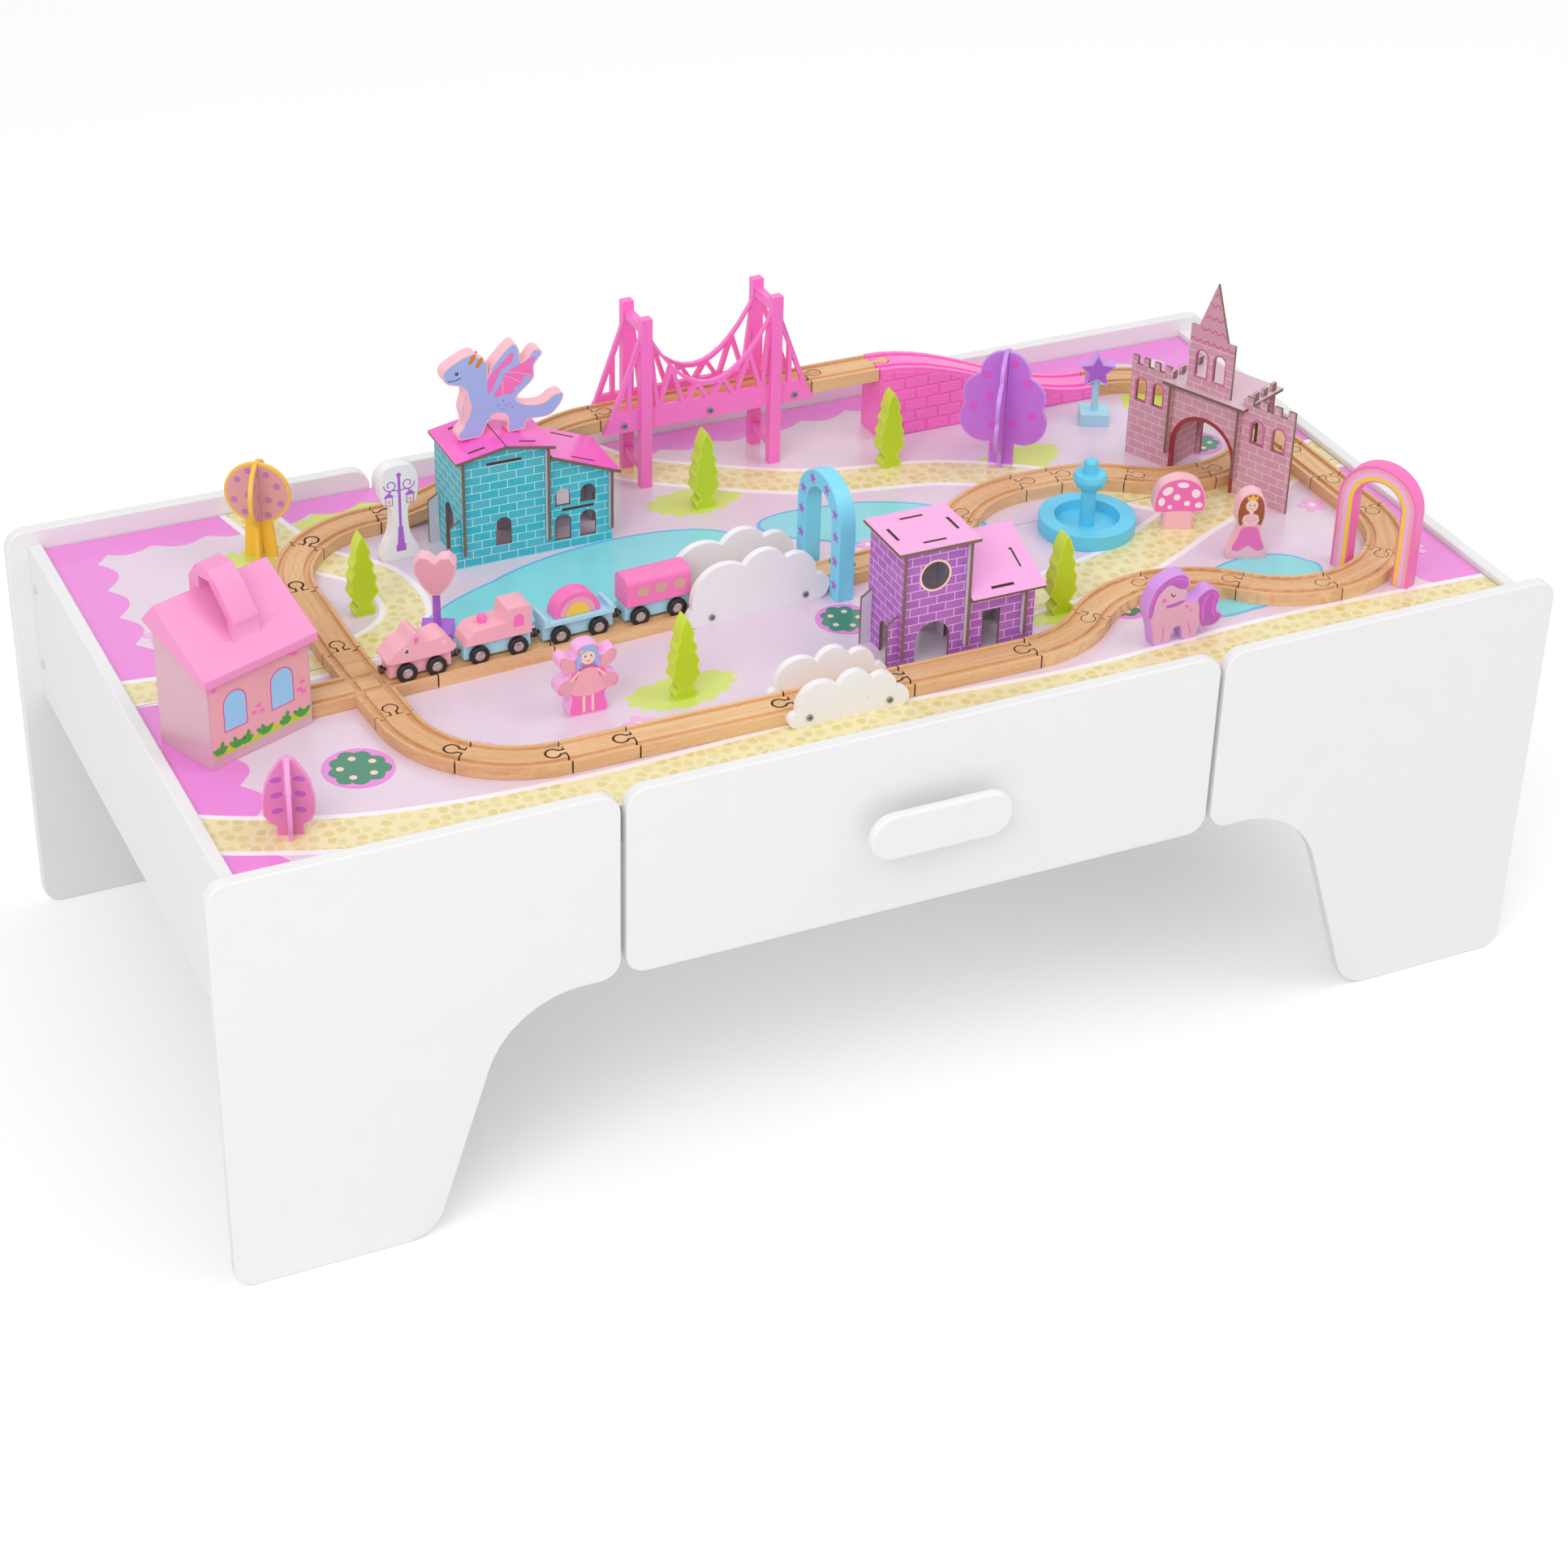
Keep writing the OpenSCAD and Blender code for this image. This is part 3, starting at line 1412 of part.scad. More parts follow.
module trunk(w, h) {
    polygon([[-w, 0], [-w / 3, 0], [0, h / 3], [w / 3, 0], [w, 0], [w * 2 / 3, h], [-w * 2 / 3, h]]);
}

module trees() {
    color("yellowgreen") for (s = fir_shares) on_board(place(s), 0) fir();
    color("gold") on_board(place(round_tree_share), round_tree_angle) crossed(round_h) {
        union() {
            translate([0, round_h - round_r]) circle(round_r);
            trunk(round_r / 2, round_h - round_r);
        }
    }
    color("palevioletred") on_board(place(leaf_tree_share), leaf_tree_angle) crossed(leaf_h)
        polygon(both_halves(scaled([[0.26, 0.00], [0.26, 0.13], [0.40, 0.18], [0.49, 0.28], [0.50, 0.46],
            [0.43, 0.66], [0.35, 0.77], [0.25, 0.87], [0.13, 0.97], [0.00, 1.00]], leaf_w, leaf_h)));
    color("mediumpurple") on_board(place(puff_tree_share), puff_tree_angle) crossed(puff_h) {
        union() {
            translate([0, puff_h - puff_r]) circle(puff_r);
            for (x = [-1, 1]) {
                translate([x * puff_r * 0.65, puff_h - 2 * puff_r]) circle(puff_r);
                translate([x * puff_r * 0.75, puff_h - 3 * puff_r]) circle(puff_r);
            }
            translate([-puff_r / 2, 0]) square([puff_r, puff_h / 2]);
        }
    }
}

// Signs and figures

module sign() {
    translate([-foot_block / 2, -foot_block / 2, 0]) cube([foot_block, foot_block, foot_block_h]);
    translate([0, 0, foot_block_h]) cylinder(r = sign_r, h = sign_h);
    translate([0, -figure_t / 2, foot_block_h + sign_h]) upright(figure_t) children();
}

heart_shares = [[0.10, 0.00], [0.30, 0.22], [0.48, 0.56], [0.49, 0.82], [0.34, 1.00], [0.14, 0.97],
    [0.00, 0.84]];
lamp_shares = [[0.44, 0.00], [0.44, 0.12], [0.24, 0.30], [0.22, 0.55], [0.44, 0.62], [0.50, 0.84],
    [0.36, 0.97], [0.00, 1.00]];
dragon_shares = [[-0.36, 0.00], [-0.20, 0.00], [-0.12, 0.17], [0.03, 0.12], [0.04, 0.00],
    [0.17, 0.00], [0.21, 0.10],
    [0.39, 0.11], [0.49, 0.23], [0.51, 0.34], [0.43, 0.34], [0.34, 0.27], [0.21, 0.28], [0.12, 0.35],
    [0.14, 0.42],
    [0.26, 0.56], [0.27, 0.71], [0.34, 0.84], [0.27, 0.89], [0.17, 0.76], [0.14, 0.93], [0.08, 0.99],
    [-0.08, 0.79],
    [-0.12, 0.68], [-0.12, 0.82], [-0.18, 0.89], [-0.26, 0.96], [-0.48, 0.82], [-0.47, 0.67], [-0.34, 0.60],
    [-0.32, 0.49], [-0.35, 0.34], [-0.33, 0.17], [-0.38, 0.08]];
pony_shares = [[-0.36, 0.00], [-0.18, 0.00], [-0.14, 0.18], [-0.09, 0.215], [-0.04, 0.20], [0.01, 0.00],
    [0.17, 0.00], [0.20, 0.15],
    [0.28, 0.12], [0.40, 0.125], [0.48, 0.19], [0.50, 0.27], [0.43, 0.325], [0.415, 0.39], [0.445, 0.51],
    [0.43, 0.59], [0.385, 0.655],
    [0.315, 0.685], [0.24, 0.665], [0.16, 0.585], [0.09, 0.56], [0.01, 0.59], [0.02, 0.68], [0.00, 0.745],
    [0.035, 0.82], [-0.02, 0.97],
    [-0.15, 1.00], [-0.28, 0.96], [-0.37, 0.895], [-0.435, 0.80], [-0.485, 0.63], [-0.495, 0.50],
    [-0.45, 0.38], [-0.405, 0.20]];
princess_shares = [[0.46, 0.00], [0.50, 0.12], [0.37, 0.30], [0.29, 0.46], [0.37, 0.56], [0.39, 0.74],
    [0.30, 0.92],
    [0.12, 0.99], [0.00, 1.00]];
fairy_shares = [[0.29, 0.00], [0.28, 0.28], [0.46, 0.34], [0.50, 0.43], [0.44, 0.52], [0.29, 0.60],
    [0.43, 0.70],
    [0.47, 0.82], [0.38, 0.88], [0.21, 0.82], [0.19, 0.93], [0.11, 0.985], [0.00, 1.00]];
mushroom_shares = [[0.26, 0.00], [0.28, 0.30], [0.48, 0.36], [0.50, 0.60], [0.36, 0.88], [0.00, 1.00]];

// Figure of mirrored outline, standing on the board
module mirrored_figure(shares, w, h) {
    translate([0, -figure_t / 2, 0]) upright(figure_t) polygon(smooth(both_halves(scaled(shares, w, h))));
}

module figure(shares, w, h) {
    translate([0, -figure_t / 2, 0]) upright(figure_t) polygon(smooth(scaled(shares, w, h)));
}

module star_outline(r) {
    points = 5;
    polygon([for (i = [0:2 * points - 1]) let (a = 90 + i * 180 / points, q = i % 2 == 0 ? r : r / 2)
        [q * cos(a), q * sin(a) + r / 2]]);
}

module signs_and_figures() {
    seat_share = 0.08;
    toe_share = 0.12;
    seat_z = teal_h + gable_rise + ply / cos(gable_slope) - toe_share * dragon_w * tan(gable_slope);
    color("pink") on_board(place(heart_share), sign_angle) sign()
        polygon(both_halves(scaled(heart_shares, badge_w, badge_w)));
    color("mediumpurple") on_board(place(star_share), sign_angle) sign() star_outline(badge_w / 2);
    color("white") on_board(place(lamp_share), 0) mirrored_figure(lamp_shares, lamp_w, lamp_h);
    color("lightsteelblue") at_teal() translate([teal_w / 2 + seat_share * dragon_w, teal_d / 2, seat_z])
        figure(dragon_shares, dragon_w, dragon_h);
    color("plum") on_board(place(pony_share), 0) figure(pony_shares, pony_w, pony_h);
    color("hotpink") on_board(place(princess_share), figure_angle)
        mirrored_figure(princess_shares, princess_w, princess_h);
    color("violet") on_board(place(fairy_share), 0) mirrored_figure(fairy_shares, fairy_w, fairy_h);
    color("orchid") on_board(place(mushroom_share), figure_angle)
        mirrored_figure(mushroom_shares, mushroom_w, mushroom_h);
}

front_left_leg();
front_right_leg();
rear_left_leg();
rear_right_leg();
rear_panel();
left_apron();
right_apron();
front_board();
rear_board();
board_rails();
drawer_runners();
joint_caps();
drawer_front();
drawer_handle();
handle_posts();
drawer_sides();
drawer_back();
drawer_bottom();
cross_track();
left_track();
front_track();
wave_track();
right_track();
inner_track();
bridge_track();
brick_ramp();
bridge_frame();
toy_screws();
loco_body();
loco_couplers();
loco_front_wheels();
loco_rear_wheels();
engine_chassis();
engine_body();
engine_couplers();
engine_front_wheels();
engine_rear_wheels();
wagon_chassis();
wagon_rainbow();
wagon_couplers();
wagon_front_wheels();
wagon_rear_wheels();
coach_chassis();
coach_cabin();
coach_couplers();
coach_front_wheels();
coach_rear_wheels();
teal_house_walls();
teal_house_roof();
purple_house_walls();
purple_house_roof();
castle_walls();
castle_roof();
station_case();
station_roof();
cloud_tunnels();
arches();
fountain();
trees();
signs_and_figures();
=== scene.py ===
"""Finishes, prints and small fittings of the train table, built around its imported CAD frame."""

import json
import math

import bmesh
import bpy
import numpy as np
from mathutils import Matrix, Vector
from mathutils.bvhtree import BVHTree

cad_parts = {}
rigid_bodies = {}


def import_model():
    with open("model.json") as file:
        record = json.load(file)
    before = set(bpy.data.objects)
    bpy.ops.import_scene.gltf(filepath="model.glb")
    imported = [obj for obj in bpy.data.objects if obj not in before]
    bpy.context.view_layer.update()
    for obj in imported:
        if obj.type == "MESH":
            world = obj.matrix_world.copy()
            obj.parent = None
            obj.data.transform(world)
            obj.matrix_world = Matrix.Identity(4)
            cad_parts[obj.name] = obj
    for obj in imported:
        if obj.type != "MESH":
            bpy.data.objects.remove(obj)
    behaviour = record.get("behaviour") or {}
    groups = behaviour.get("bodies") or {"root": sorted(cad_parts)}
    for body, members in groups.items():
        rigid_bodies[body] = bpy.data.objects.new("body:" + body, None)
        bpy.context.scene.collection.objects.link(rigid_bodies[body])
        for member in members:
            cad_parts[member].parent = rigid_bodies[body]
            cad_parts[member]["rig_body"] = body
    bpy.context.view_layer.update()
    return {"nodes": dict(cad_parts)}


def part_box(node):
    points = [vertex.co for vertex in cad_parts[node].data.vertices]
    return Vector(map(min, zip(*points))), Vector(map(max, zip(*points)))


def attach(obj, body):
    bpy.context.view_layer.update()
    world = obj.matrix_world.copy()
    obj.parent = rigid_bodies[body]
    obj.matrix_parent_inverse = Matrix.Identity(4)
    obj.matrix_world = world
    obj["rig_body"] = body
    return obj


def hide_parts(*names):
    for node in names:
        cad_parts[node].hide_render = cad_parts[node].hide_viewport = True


bl_info = {
    "name": "Train table",
    "version": (1, 0, 0),
    "blender": (4, 5, 0),
    "location": "3D View > Sidebar > Train table",
    "description": "Dresses the train table's CAD frame in paint, wood and print",
    "category": "Add Mesh",
}

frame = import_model()
MM = 0.001
BOARD_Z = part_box("front_board")[1].z
BOARD_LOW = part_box("front_board")[0]
BOARD_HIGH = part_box("rear_board")[1]
UP = np.array([0.0, 0.0, 1.0])
# The train's straight line: its direction, the direction across it, its turn in degrees, and in mm
# the spot where it crosses the left rails
ALONG = np.array([0.998252, 0.059105, 0.0])
ACROSS = np.array([-0.059105, 0.998252, 0.0])
LEAN = 3.3885
CROSS = np.array([-406.25, -42.01])
# Angles above which an edge is rounded, above which it is shaded as a crease, and below which it is flat
SHARP, CREASE, FLAT = math.radians(32), math.radians(42), math.radians(0.4)
# Distance in which points are one, and how far a plate reaches into its face
WELD, SINK = 2e-6, 0.0001
WHITE = (1.0, 1.0, 1.0, 1.0)


def linear(red, green, blue):
    """Linear light values of a colour given in display values of 0 to 255: the display curve undone."""
    shares = np.array([red, green, blue]) / 255
    light = np.where(shares <= 0.04045, shares / 12.92, ((shares + 0.055) / 1.055) ** 2.4)
    return tuple(float(v) for v in light)


def colour(name, description, *display):
    """A colour setting from display values of 0 to 255."""
    return bpy.props.FloatVectorProperty(
        name=name, description=description, subtype="COLOR", size=3, min=0, max=1, default=linear(*display))


def length(name, description, millimetres):
    """A length setting from millimetres."""
    return bpy.props.FloatProperty(
        name=name, description=description, unit="LENGTH", min=0, precision=5, default=millimetres * MM)


class TrainTableColours(bpy.types.PropertyGroup):
    """Colours of the table, its railway and its toys."""

    white: colour("White paint", "Paint of the table's panels", 236, 236, 236)
    cloud: colour("Cloud paint", "Paint of the cloud tunnels and the lamp", 243, 241, 244)
    board: colour("Board", "Ground colour of the printed play board", 229, 210, 226)
    border: colour("Border", "Scalloped border of the board", 236, 140, 220)
    petal: colour("Petals", "Blossoms of the board's print", 242, 178, 228)
    grass: colour("Grass", "Grass patches of the board", 212, 226, 110)
    water: colour("Water", "Ponds of the board", 142, 224, 230)
    shore: colour("Shore", "Line round the ponds", 112, 190, 234)
    path: colour("Path", "Ground of the cobbled paths", 240, 228, 180)
    cobble: colour("Cobbles", "Stones of the cobbled paths", 224, 206, 134)
    kerb: colour("Kerb", "Lines along the cobbled paths", 248, 242, 246)
    hedge: colour("Hedge", "Leaves of the flower beds", 66, 138, 108)
    beech_light: colour("Light beech", "Pale bands of the rails", 238, 198, 150)
    beech_dark: colour("Dark beech", "Dark bands of the rails", 212, 160, 112)
    # Painted shade: this colour darkens the lips of the gaps between rails, where the gaps fall into shade.
    rail_gap: colour("Rail gaps", "Painted shade on the lips of the gaps between rails", 104, 72, 50)
    bridge: colour("Bridge", "Plastic of the bridge and its ramp", 255, 122, 206)
    teal: colour("Teal bricks", "Bricks of the teal house", 62, 188, 204)
    teal_joint: colour("Teal mortar", "Mortar of the teal house", 204, 240, 242)
    teal_roof: colour("Teal house roof", "Roof boards of the teal house", 250, 104, 204)
    purple: colour("Purple bricks", "Bricks of the purple house", 178, 98, 196)
    purple_joint: colour("Purple mortar", "Mortar of the purple house", 238, 208, 242)
    purple_roof: colour("Purple house roof", "Roof boards of the purple house", 246, 172, 226)
    mauve: colour("Castle bricks", "Bricks of the castle", 210, 156, 172)
    mauve_joint: colour("Castle mortar", "Mortar of the castle", 240, 208, 218)
    mauve_roof: colour("Castle roof", "Roof board of the castle", 222, 188, 202)
    trim: colour("Gate trim", "Trim round the castle's gate", 156, 54, 62)
    frames: colour("Window frames", "Printed frames of the castle's windows", 206, 98, 158)
    cut_edge: colour("Cut edges", "Scorched edges of the slot-together boards", 126, 98, 84)
    back: colour("Board backs", "Unprinted backs of the slot-together boards", 216, 210, 220)
    case: colour("Station case", "Clear pink case of the station", 248, 204, 218)
    panel: colour("Station panel", "Printed front of the station", 236, 170, 180)
    lid: colour("Station roof", "Lid of the station", 240, 148, 200)
    window: colour("Window", "Painted window panes", 154, 206, 242)
    leaves: colour("Leaves", "Dark leaves on the station", 66, 158, 62)
    sprouts: colour("Sprouts", "Light leaves on the station", 196, 208, 40)
    fir: colour("Fir", "Paint of the fir trees", 190, 216, 34)
    fir_edge: colour("Fir edge", "Sides of the fir trees", 208, 228, 66)
    leaf: colour("Leaf tree", "Paint of the leaf tree", 226, 132, 186)
    leaf_edge: colour("Leaf tree edge", "Sides of the leaf tree", 240, 156, 214)
    dusk: colour("Round tree", "Discs of the round tree", 222, 164, 168)
    puff: colour("Puff tree", "Paint of the puff tree", 206, 122, 228)
    mallow: colour("Round tree dots", "Dots of the round tree", 198, 122, 184)
    plum: colour("Leaf tree marks", "Marks of the leaf tree", 188, 98, 192)
    magenta: colour("Puff tree dots", "Dots of the puff tree", 226, 100, 212)
    puff_edge: colour("Puff tree edge", "Sides of the puff tree", 206, 150, 232)
    pink: colour("Pink paint", "Pink of the wooden toys", 244, 176, 190)
    dusty: colour("Dusty pink", "Muted pink of the wooden toys", 234, 168, 184)
    hot: colour("Hot pink paint", "Strong pink of the wooden toys", 246, 116, 190)
    coach: colour("Coach paint", "Paint of the coach", 246, 124, 190)
    blush: colour("Blush edge", "Sides of the wooden figures", 248, 192, 204)
    blue: colour("Blue paint", "Light blue of the wooden toys", 172, 222, 240)
    sky: colour("Sky paint", "Blue of the fountain", 104, 208, 240)
    arch: colour("Arch paint", "Blue of the arch", 130, 220, 248)
    lilac: colour("Lilac paint", "Purple of the wooden toys", 178, 104, 216)
    orchid: colour("Orchid paint", "Sides of the pony", 216, 152, 230)
    pony: colour("Pony", "Pony's coat", 228, 172, 200)
    dragon: colour("Dragon", "Dragon's skin", 164, 182, 234)
    horn: colour("Horn", "Dragon's horns", 214, 130, 44)
    hair: colour("Hair", "Princess's hair", 164, 88, 60)
    curl: colour("Curls", "Fairy's hair", 130, 160, 226)
    skin: colour("Skin", "Faces and arms of the figures", 248, 214, 200)
    yellow: colour("Yellow paint", "Yellow of the wooden toys", 244, 206, 66)
    amber: colour("Amber paint", "Round tree's trunk and rims", 246, 194, 74)
    gold: colour("Gold", "Windows of the coach", 214, 168, 150)
    # The dark line is print on the eyes and mouths, and painted shade in the screws' cross slots and the teal
    # house's floor slots.
    line: colour("Dark line", "Eyes and mouths, and painted shade in the screws' cross slots and the floor slots", 44, 36, 48)
    black: colour("Wheel plastic", "Plastic of the wheels", 26, 26, 28)
    steel: colour("Steel", "Wheel caps", 196, 184, 178)
    screw: colour("Screws", "Steel of the screws", 168, 164, 168)
    magnet: colour("Magnets", "Magnets of the couplers", 92, 84, 80)


class TrainTableSizes(bpy.types.PropertyGroup):
    """Sizes of the rounded edges and of the printed patterns."""

    panel_edge: length("Panel edges", "Radius of the table panels' edges", 1.6)
    toy_edge: length("Toy edges", "Radius of the wooden toys' edges", 0.9)
    rail_edge: length("Rail edges", "Radius of the rails' edges", 0.7)
    thin_edge: length("Thin edges", "Radius of the thin boards' edges", 0.25)
    plastic_edge: length("Plastic edges", "Radius of the plastic edges", 0.5)
    brick_w: length("Brick width", "Width of a printed brick", 17)
    brick_h: length("Brick height", "Height of a printed brick", 8.1)
    joint_w: length("Mortar", "Half the width of the printed mortar", 0.38)
    ink: length("Ink", "Height of one layer of the board's print", 0.05)
    decal: length("Decal", "Height of one layer of the toys' prints", 0.1)
    emboss: length("Emboss", "Height of the ramp's bricks", 1.0)
    rim: length("Print rim", "Unprinted rim of the wooden figures", 0.9)


def settings():
    """The scene's settings, colours first."""
    scene = bpy.context.scene
    return scene.train_table_colours, scene.train_table_sizes


# Shader nodes

def wire(tree, kind, inputs=None, **options):
    """A new node with its options, and each input a value or another node's output."""
    node = tree.nodes.new(kind)
    for key, value in options.items():
        setattr(node, key, value)
    for key, value in (inputs or {}).items():
        if isinstance(value, bpy.types.NodeSocket):
            tree.links.new(value, node.inputs[key])
        else:
            node.inputs[key].default_value = value
    return node


def noise(tree, vector, scale, detail, distortion=0.0):
    """The value of a noise texture."""
    return wire(tree, "ShaderNodeTexNoise", {
        "Vector": vector, "Scale": scale, "Detail": detail, "Distortion": distortion}).outputs[0]


def scaled(tree, tint, level):
    """A colour times a level."""
    return wire(tree, "ShaderNodeVectorMath", {0: tint, "Scale": level}, operation="SCALE").outputs[0]


def math_node(tree, operation, first, second=0.0, third=0.0):
    """The result of one arithmetic step on values or outputs."""
    return wire(tree, "ShaderNodeMath", {0: first, 1: second, 2: third}, operation=operation).outputs[0]


def blended(tree, factor, first, second, mode="MIX"):
    """Two colours mixed by a factor. The node's sockets 6, 7 and 2 are those for colours."""
    inputs = {0: factor, 6: first, 7: second}
    return wire(tree, "ShaderNodeMix", inputs, data_type="RGBA", blend_type=mode).outputs[2]


def ranged(tree, value, low, high, to_low=0.0, to_high=1.0):
    """A value carried from one range to another, held at its ends."""
    return wire(tree, "ShaderNodeMapRange", {0: value, 1: low, 2: high, 3: to_low, 4: to_high}).outputs[0]


def group(name, inputs, outputs, build):
    """A shader node group with named sockets, made once. build gets its tree, inputs and output node."""
    tree = bpy.data.node_groups.get(name)
    if tree:
        return tree
    tree = bpy.data.node_groups.new(name, "ShaderNodeTree")
    for label, kind, default in inputs:
        socket = tree.interface.new_socket(label, in_out="INPUT", socket_type=kind)
        if default is not None:
            socket.default_value = default
    for label, kind in outputs:
        tree.interface.new_socket(label, in_out="OUTPUT", socket_type=kind)
    build(tree, tree.nodes.new("NodeGroupInput").outputs, tree.nodes.new("NodeGroupOutput"))
    return tree


FINISH = [("Colour", "NodeSocketColor"), ("Roughness", "NodeSocketFloat"), ("Height", "NodeSocketFloat")]


def give(tree, out, *values):
    """Links a group's colour, roughness and height to its output node."""
    for (label, _), value in zip(FINISH, values):
        tree.links.new(value, out.inputs[label])


def build_paint(tree, given, out):
    """Sprayed paint: broad mottling of the colour, patches of gloss and a fine orange peel."""
    broad = noise(tree, given["Vector"], 30.0, 4.0)
    patch = noise(tree, given["Vector"], 140.0, 2.0)
    peel = noise(tree, given["Vector"], 700.0, 1.0)
    swing = math_node(tree, "MULTIPLY", math_node(tree, "SUBTRACT", broad, 0.5), given["Mottle"])
    gloss = math_node(tree, "MULTIPLY_ADD", math_node(tree, "SUBTRACT", patch, 0.5), 0.18, given["Roughness"])
    give(tree, out, scaled(tree, given["Colour"], math_node(tree, "ADD", swing, 1.0)), gloss, peel)


def build_grain(tree, given, out):
    """Beech: wavering year bands along the first axis, short dark flecks and each piece's own tone."""
    def streaks(scales, detail, distortion):
        stretched = wire(tree, "ShaderNodeVectorMath", {0: given["Vector"], 1: scales}, operation="MULTIPLY")
        return noise(tree, stretched.outputs[0], 1.0, detail, distortion)

    bands = streaks((7.0, 190.0, 120.0), 3.0, 0.8)
    drift = streaks((4.0, 26.0, 26.0), 2.0, 0.4)
    flecks = ranged(tree, streaks((170.0, 1700.0, 1700.0), 1.0, 0.0), 0.60, 0.72)
    mixed = math_node(tree, "MULTIPLY_ADD", bands, 0.75, math_node(tree, "MULTIPLY", drift, 0.55))
    share = ranged(tree, math_node(tree, "ADD", mixed, given["Tone"]), 0.40, 0.92)
    wood = blended(tree, share, given["Dark"], given["Light"])
    dark = blended(tree, math_node(tree, "MULTIPLY", flecks, 0.45), wood, given["Dark"], "MULTIPLY")
    gloss = ranged(tree, bands, 0.3, 0.7, 0.58, 0.46)
    give(tree, out, dark, gloss, math_node(tree, "SUBTRACT", bands, flecks))


def build_bricks(tree, given, out):
    """Printed bricks in running bond, in centimetres, with even mortar and each brick's own tone."""
    pale = blended(tree, 0.07, given["Brick"], WHITE)
    wall = wire(tree, "ShaderNodeTexBrick", {
        "Vector": given["Vector"], "Color1": given["Brick"], "Color2": pale, "Mortar": given["Mortar"],
        "Scale": 100.0, "Mortar Size": given["Joint"], "Mortar Smooth": 0.1, "Bias": -0.2,
        "Brick Width": given["Width"], "Row Height": given["Height"]}, offset=0.5)
    speck = noise(tree, given["Vector"], 700.0, 3.0)
    tinted = scaled(tree, wall.outputs["Color"], ranged(tree, speck, 0.2, 0.8, 0.90, 1.06))
    give(tree, out, tinted, ranged(tree, speck, 0.2, 0.8, 0.40, 0.56),
         math_node(tree, "SUBTRACT", speck, wall.outputs["Fac"]))


def build_cobbles(tree, given, out):
    """Printed cobbles: soft rounded cells of uneven tone on a paler ground."""
    cells = {"Vector": given["Vector"], "Scale": given["Scale"], "Randomness": 0.7}
    edge = wire(tree, "ShaderNodeTexVoronoi", cells, feature="DISTANCE_TO_EDGE", voronoi_dimensions="2D")
    heart = wire(tree, "ShaderNodeTexVoronoi", cells, feature="F1", voronoi_dimensions="2D")
    clear = ranged(tree, edge.outputs["Distance"], 0.03, 0.13)
    stone = math_node(tree, "MULTIPLY", clear, ranged(tree, heart.outputs["Distance"], 0.30, 0.46, 1.0, 0.0))
    level = wire(tree, "ShaderNodeSeparateColor", {0: heart.outputs["Color"]}).outputs[0]
    shown = math_node(tree, "MULTIPLY", stone, ranged(tree, level, 0, 1, 0.45, 1.0))
    tinted = blended(tree, shown, given["Ground"], given["Stone"])
    give(tree, out, tinted, ranged(tree, stone, 0, 1, 0.24, 0.20), stone)


GROUPS = {
    "paint": (build_paint, [("Vector", "NodeSocketVector", None), ("Colour", "NodeSocketColor", WHITE),
                            ("Mottle", "NodeSocketFloat", 0.10), ("Roughness", "NodeSocketFloat", 0.40)]),
    "grain": (build_grain, [("Vector", "NodeSocketVector", None), ("Light", "NodeSocketColor", WHITE),
                            ("Dark", "NodeSocketColor", WHITE), ("Tone", "NodeSocketFloat", 0.0)]),
    "bricks": (build_bricks, [("Vector", "NodeSocketVector", None), ("Brick", "NodeSocketColor", WHITE),
                              ("Mortar", "NodeSocketColor", WHITE), ("Width", "NodeSocketFloat", 1.7),
                              ("Height", "NodeSocketFloat", 0.81), ("Joint", "NodeSocketFloat", 0.045)]),
    "cobbles": (build_cobbles, [("Vector", "NodeSocketVector", None), ("Stone", "NodeSocketColor", WHITE),
                                ("Ground", "NodeSocketColor", WHITE), ("Scale", "NodeSocketFloat", 120.0)]),
}


def finish(name, effect, values, source=None, bump=0.000004, **constants):
    """A material from one effect group, made once.

    source names an attribute or UV map, and without it the material uses Object coordinates. A value that is
    a name is read from that attribute. constants set the shader's own sockets, with _ for the space in their
    names.
    """
    material = bpy.data.materials.get(name)
    if material:
        return material
    material = bpy.data.materials.new(name)
    material.use_nodes = True
    tree = material.node_tree
    shader = tree.nodes["Principled BSDF"]
    build, inputs = GROUPS[effect]
    if source == "Print":
        vector = wire(tree, "ShaderNodeUVMap", uv_map="Print").outputs[0]
    elif source:
        vector = wire(tree, "ShaderNodeAttribute", attribute_name=source).outputs["Vector"]
    else:
        vector = wire(tree, "ShaderNodeTexCoord").outputs["Object"]
    used = wire(tree, "ShaderNodeGroup", node_tree=group("Train table " + effect, inputs, FINISH, build))
    tree.links.new(vector, used.inputs["Vector"])
    for key, value in values.items():
        if isinstance(value, str):
            tone = wire(tree, "ShaderNodeAttribute", attribute_name=value)
            tree.links.new(tone.outputs["Fac"], used.inputs[key])
        else:
            used.inputs[key].default_value = (*value, 1.0) if isinstance(value, tuple) else value
    tree.links.new(used.outputs["Colour"], shader.inputs["Base Color"])
    tree.links.new(used.outputs["Roughness"], shader.inputs["Roughness"])
    relief = wire(tree, "ShaderNodeBump", {
        "Height": used.outputs["Height"], "Strength": 0.35, "Distance": bump})
    tree.links.new(relief.outputs[0], shader.inputs["Normal"])
    for key, value in constants.items():
        shader.inputs[key.replace("_", " ")].default_value = value
    return material


def paint(name, tint, roughness, mottle, **constants):
    """Paint of one colour, or with constants a metal or plastic."""
    values = {"Colour": tuple(tint), "Roughness": roughness, "Mottle": mottle}
    return finish(name, "paint", values, **constants)


def ink(colours, name):
    """Printed or painted finish in one of the colours, by its name."""
    return paint("Ink " + name, getattr(colours, name), 0.38, 0.07)


# Shapes

def column(items, key, kind=np.int64):
    """One value of each of a mesh's items, as an array."""
    values = np.empty(len(items), kind)
    items.foreach_get(key, values)
    return values


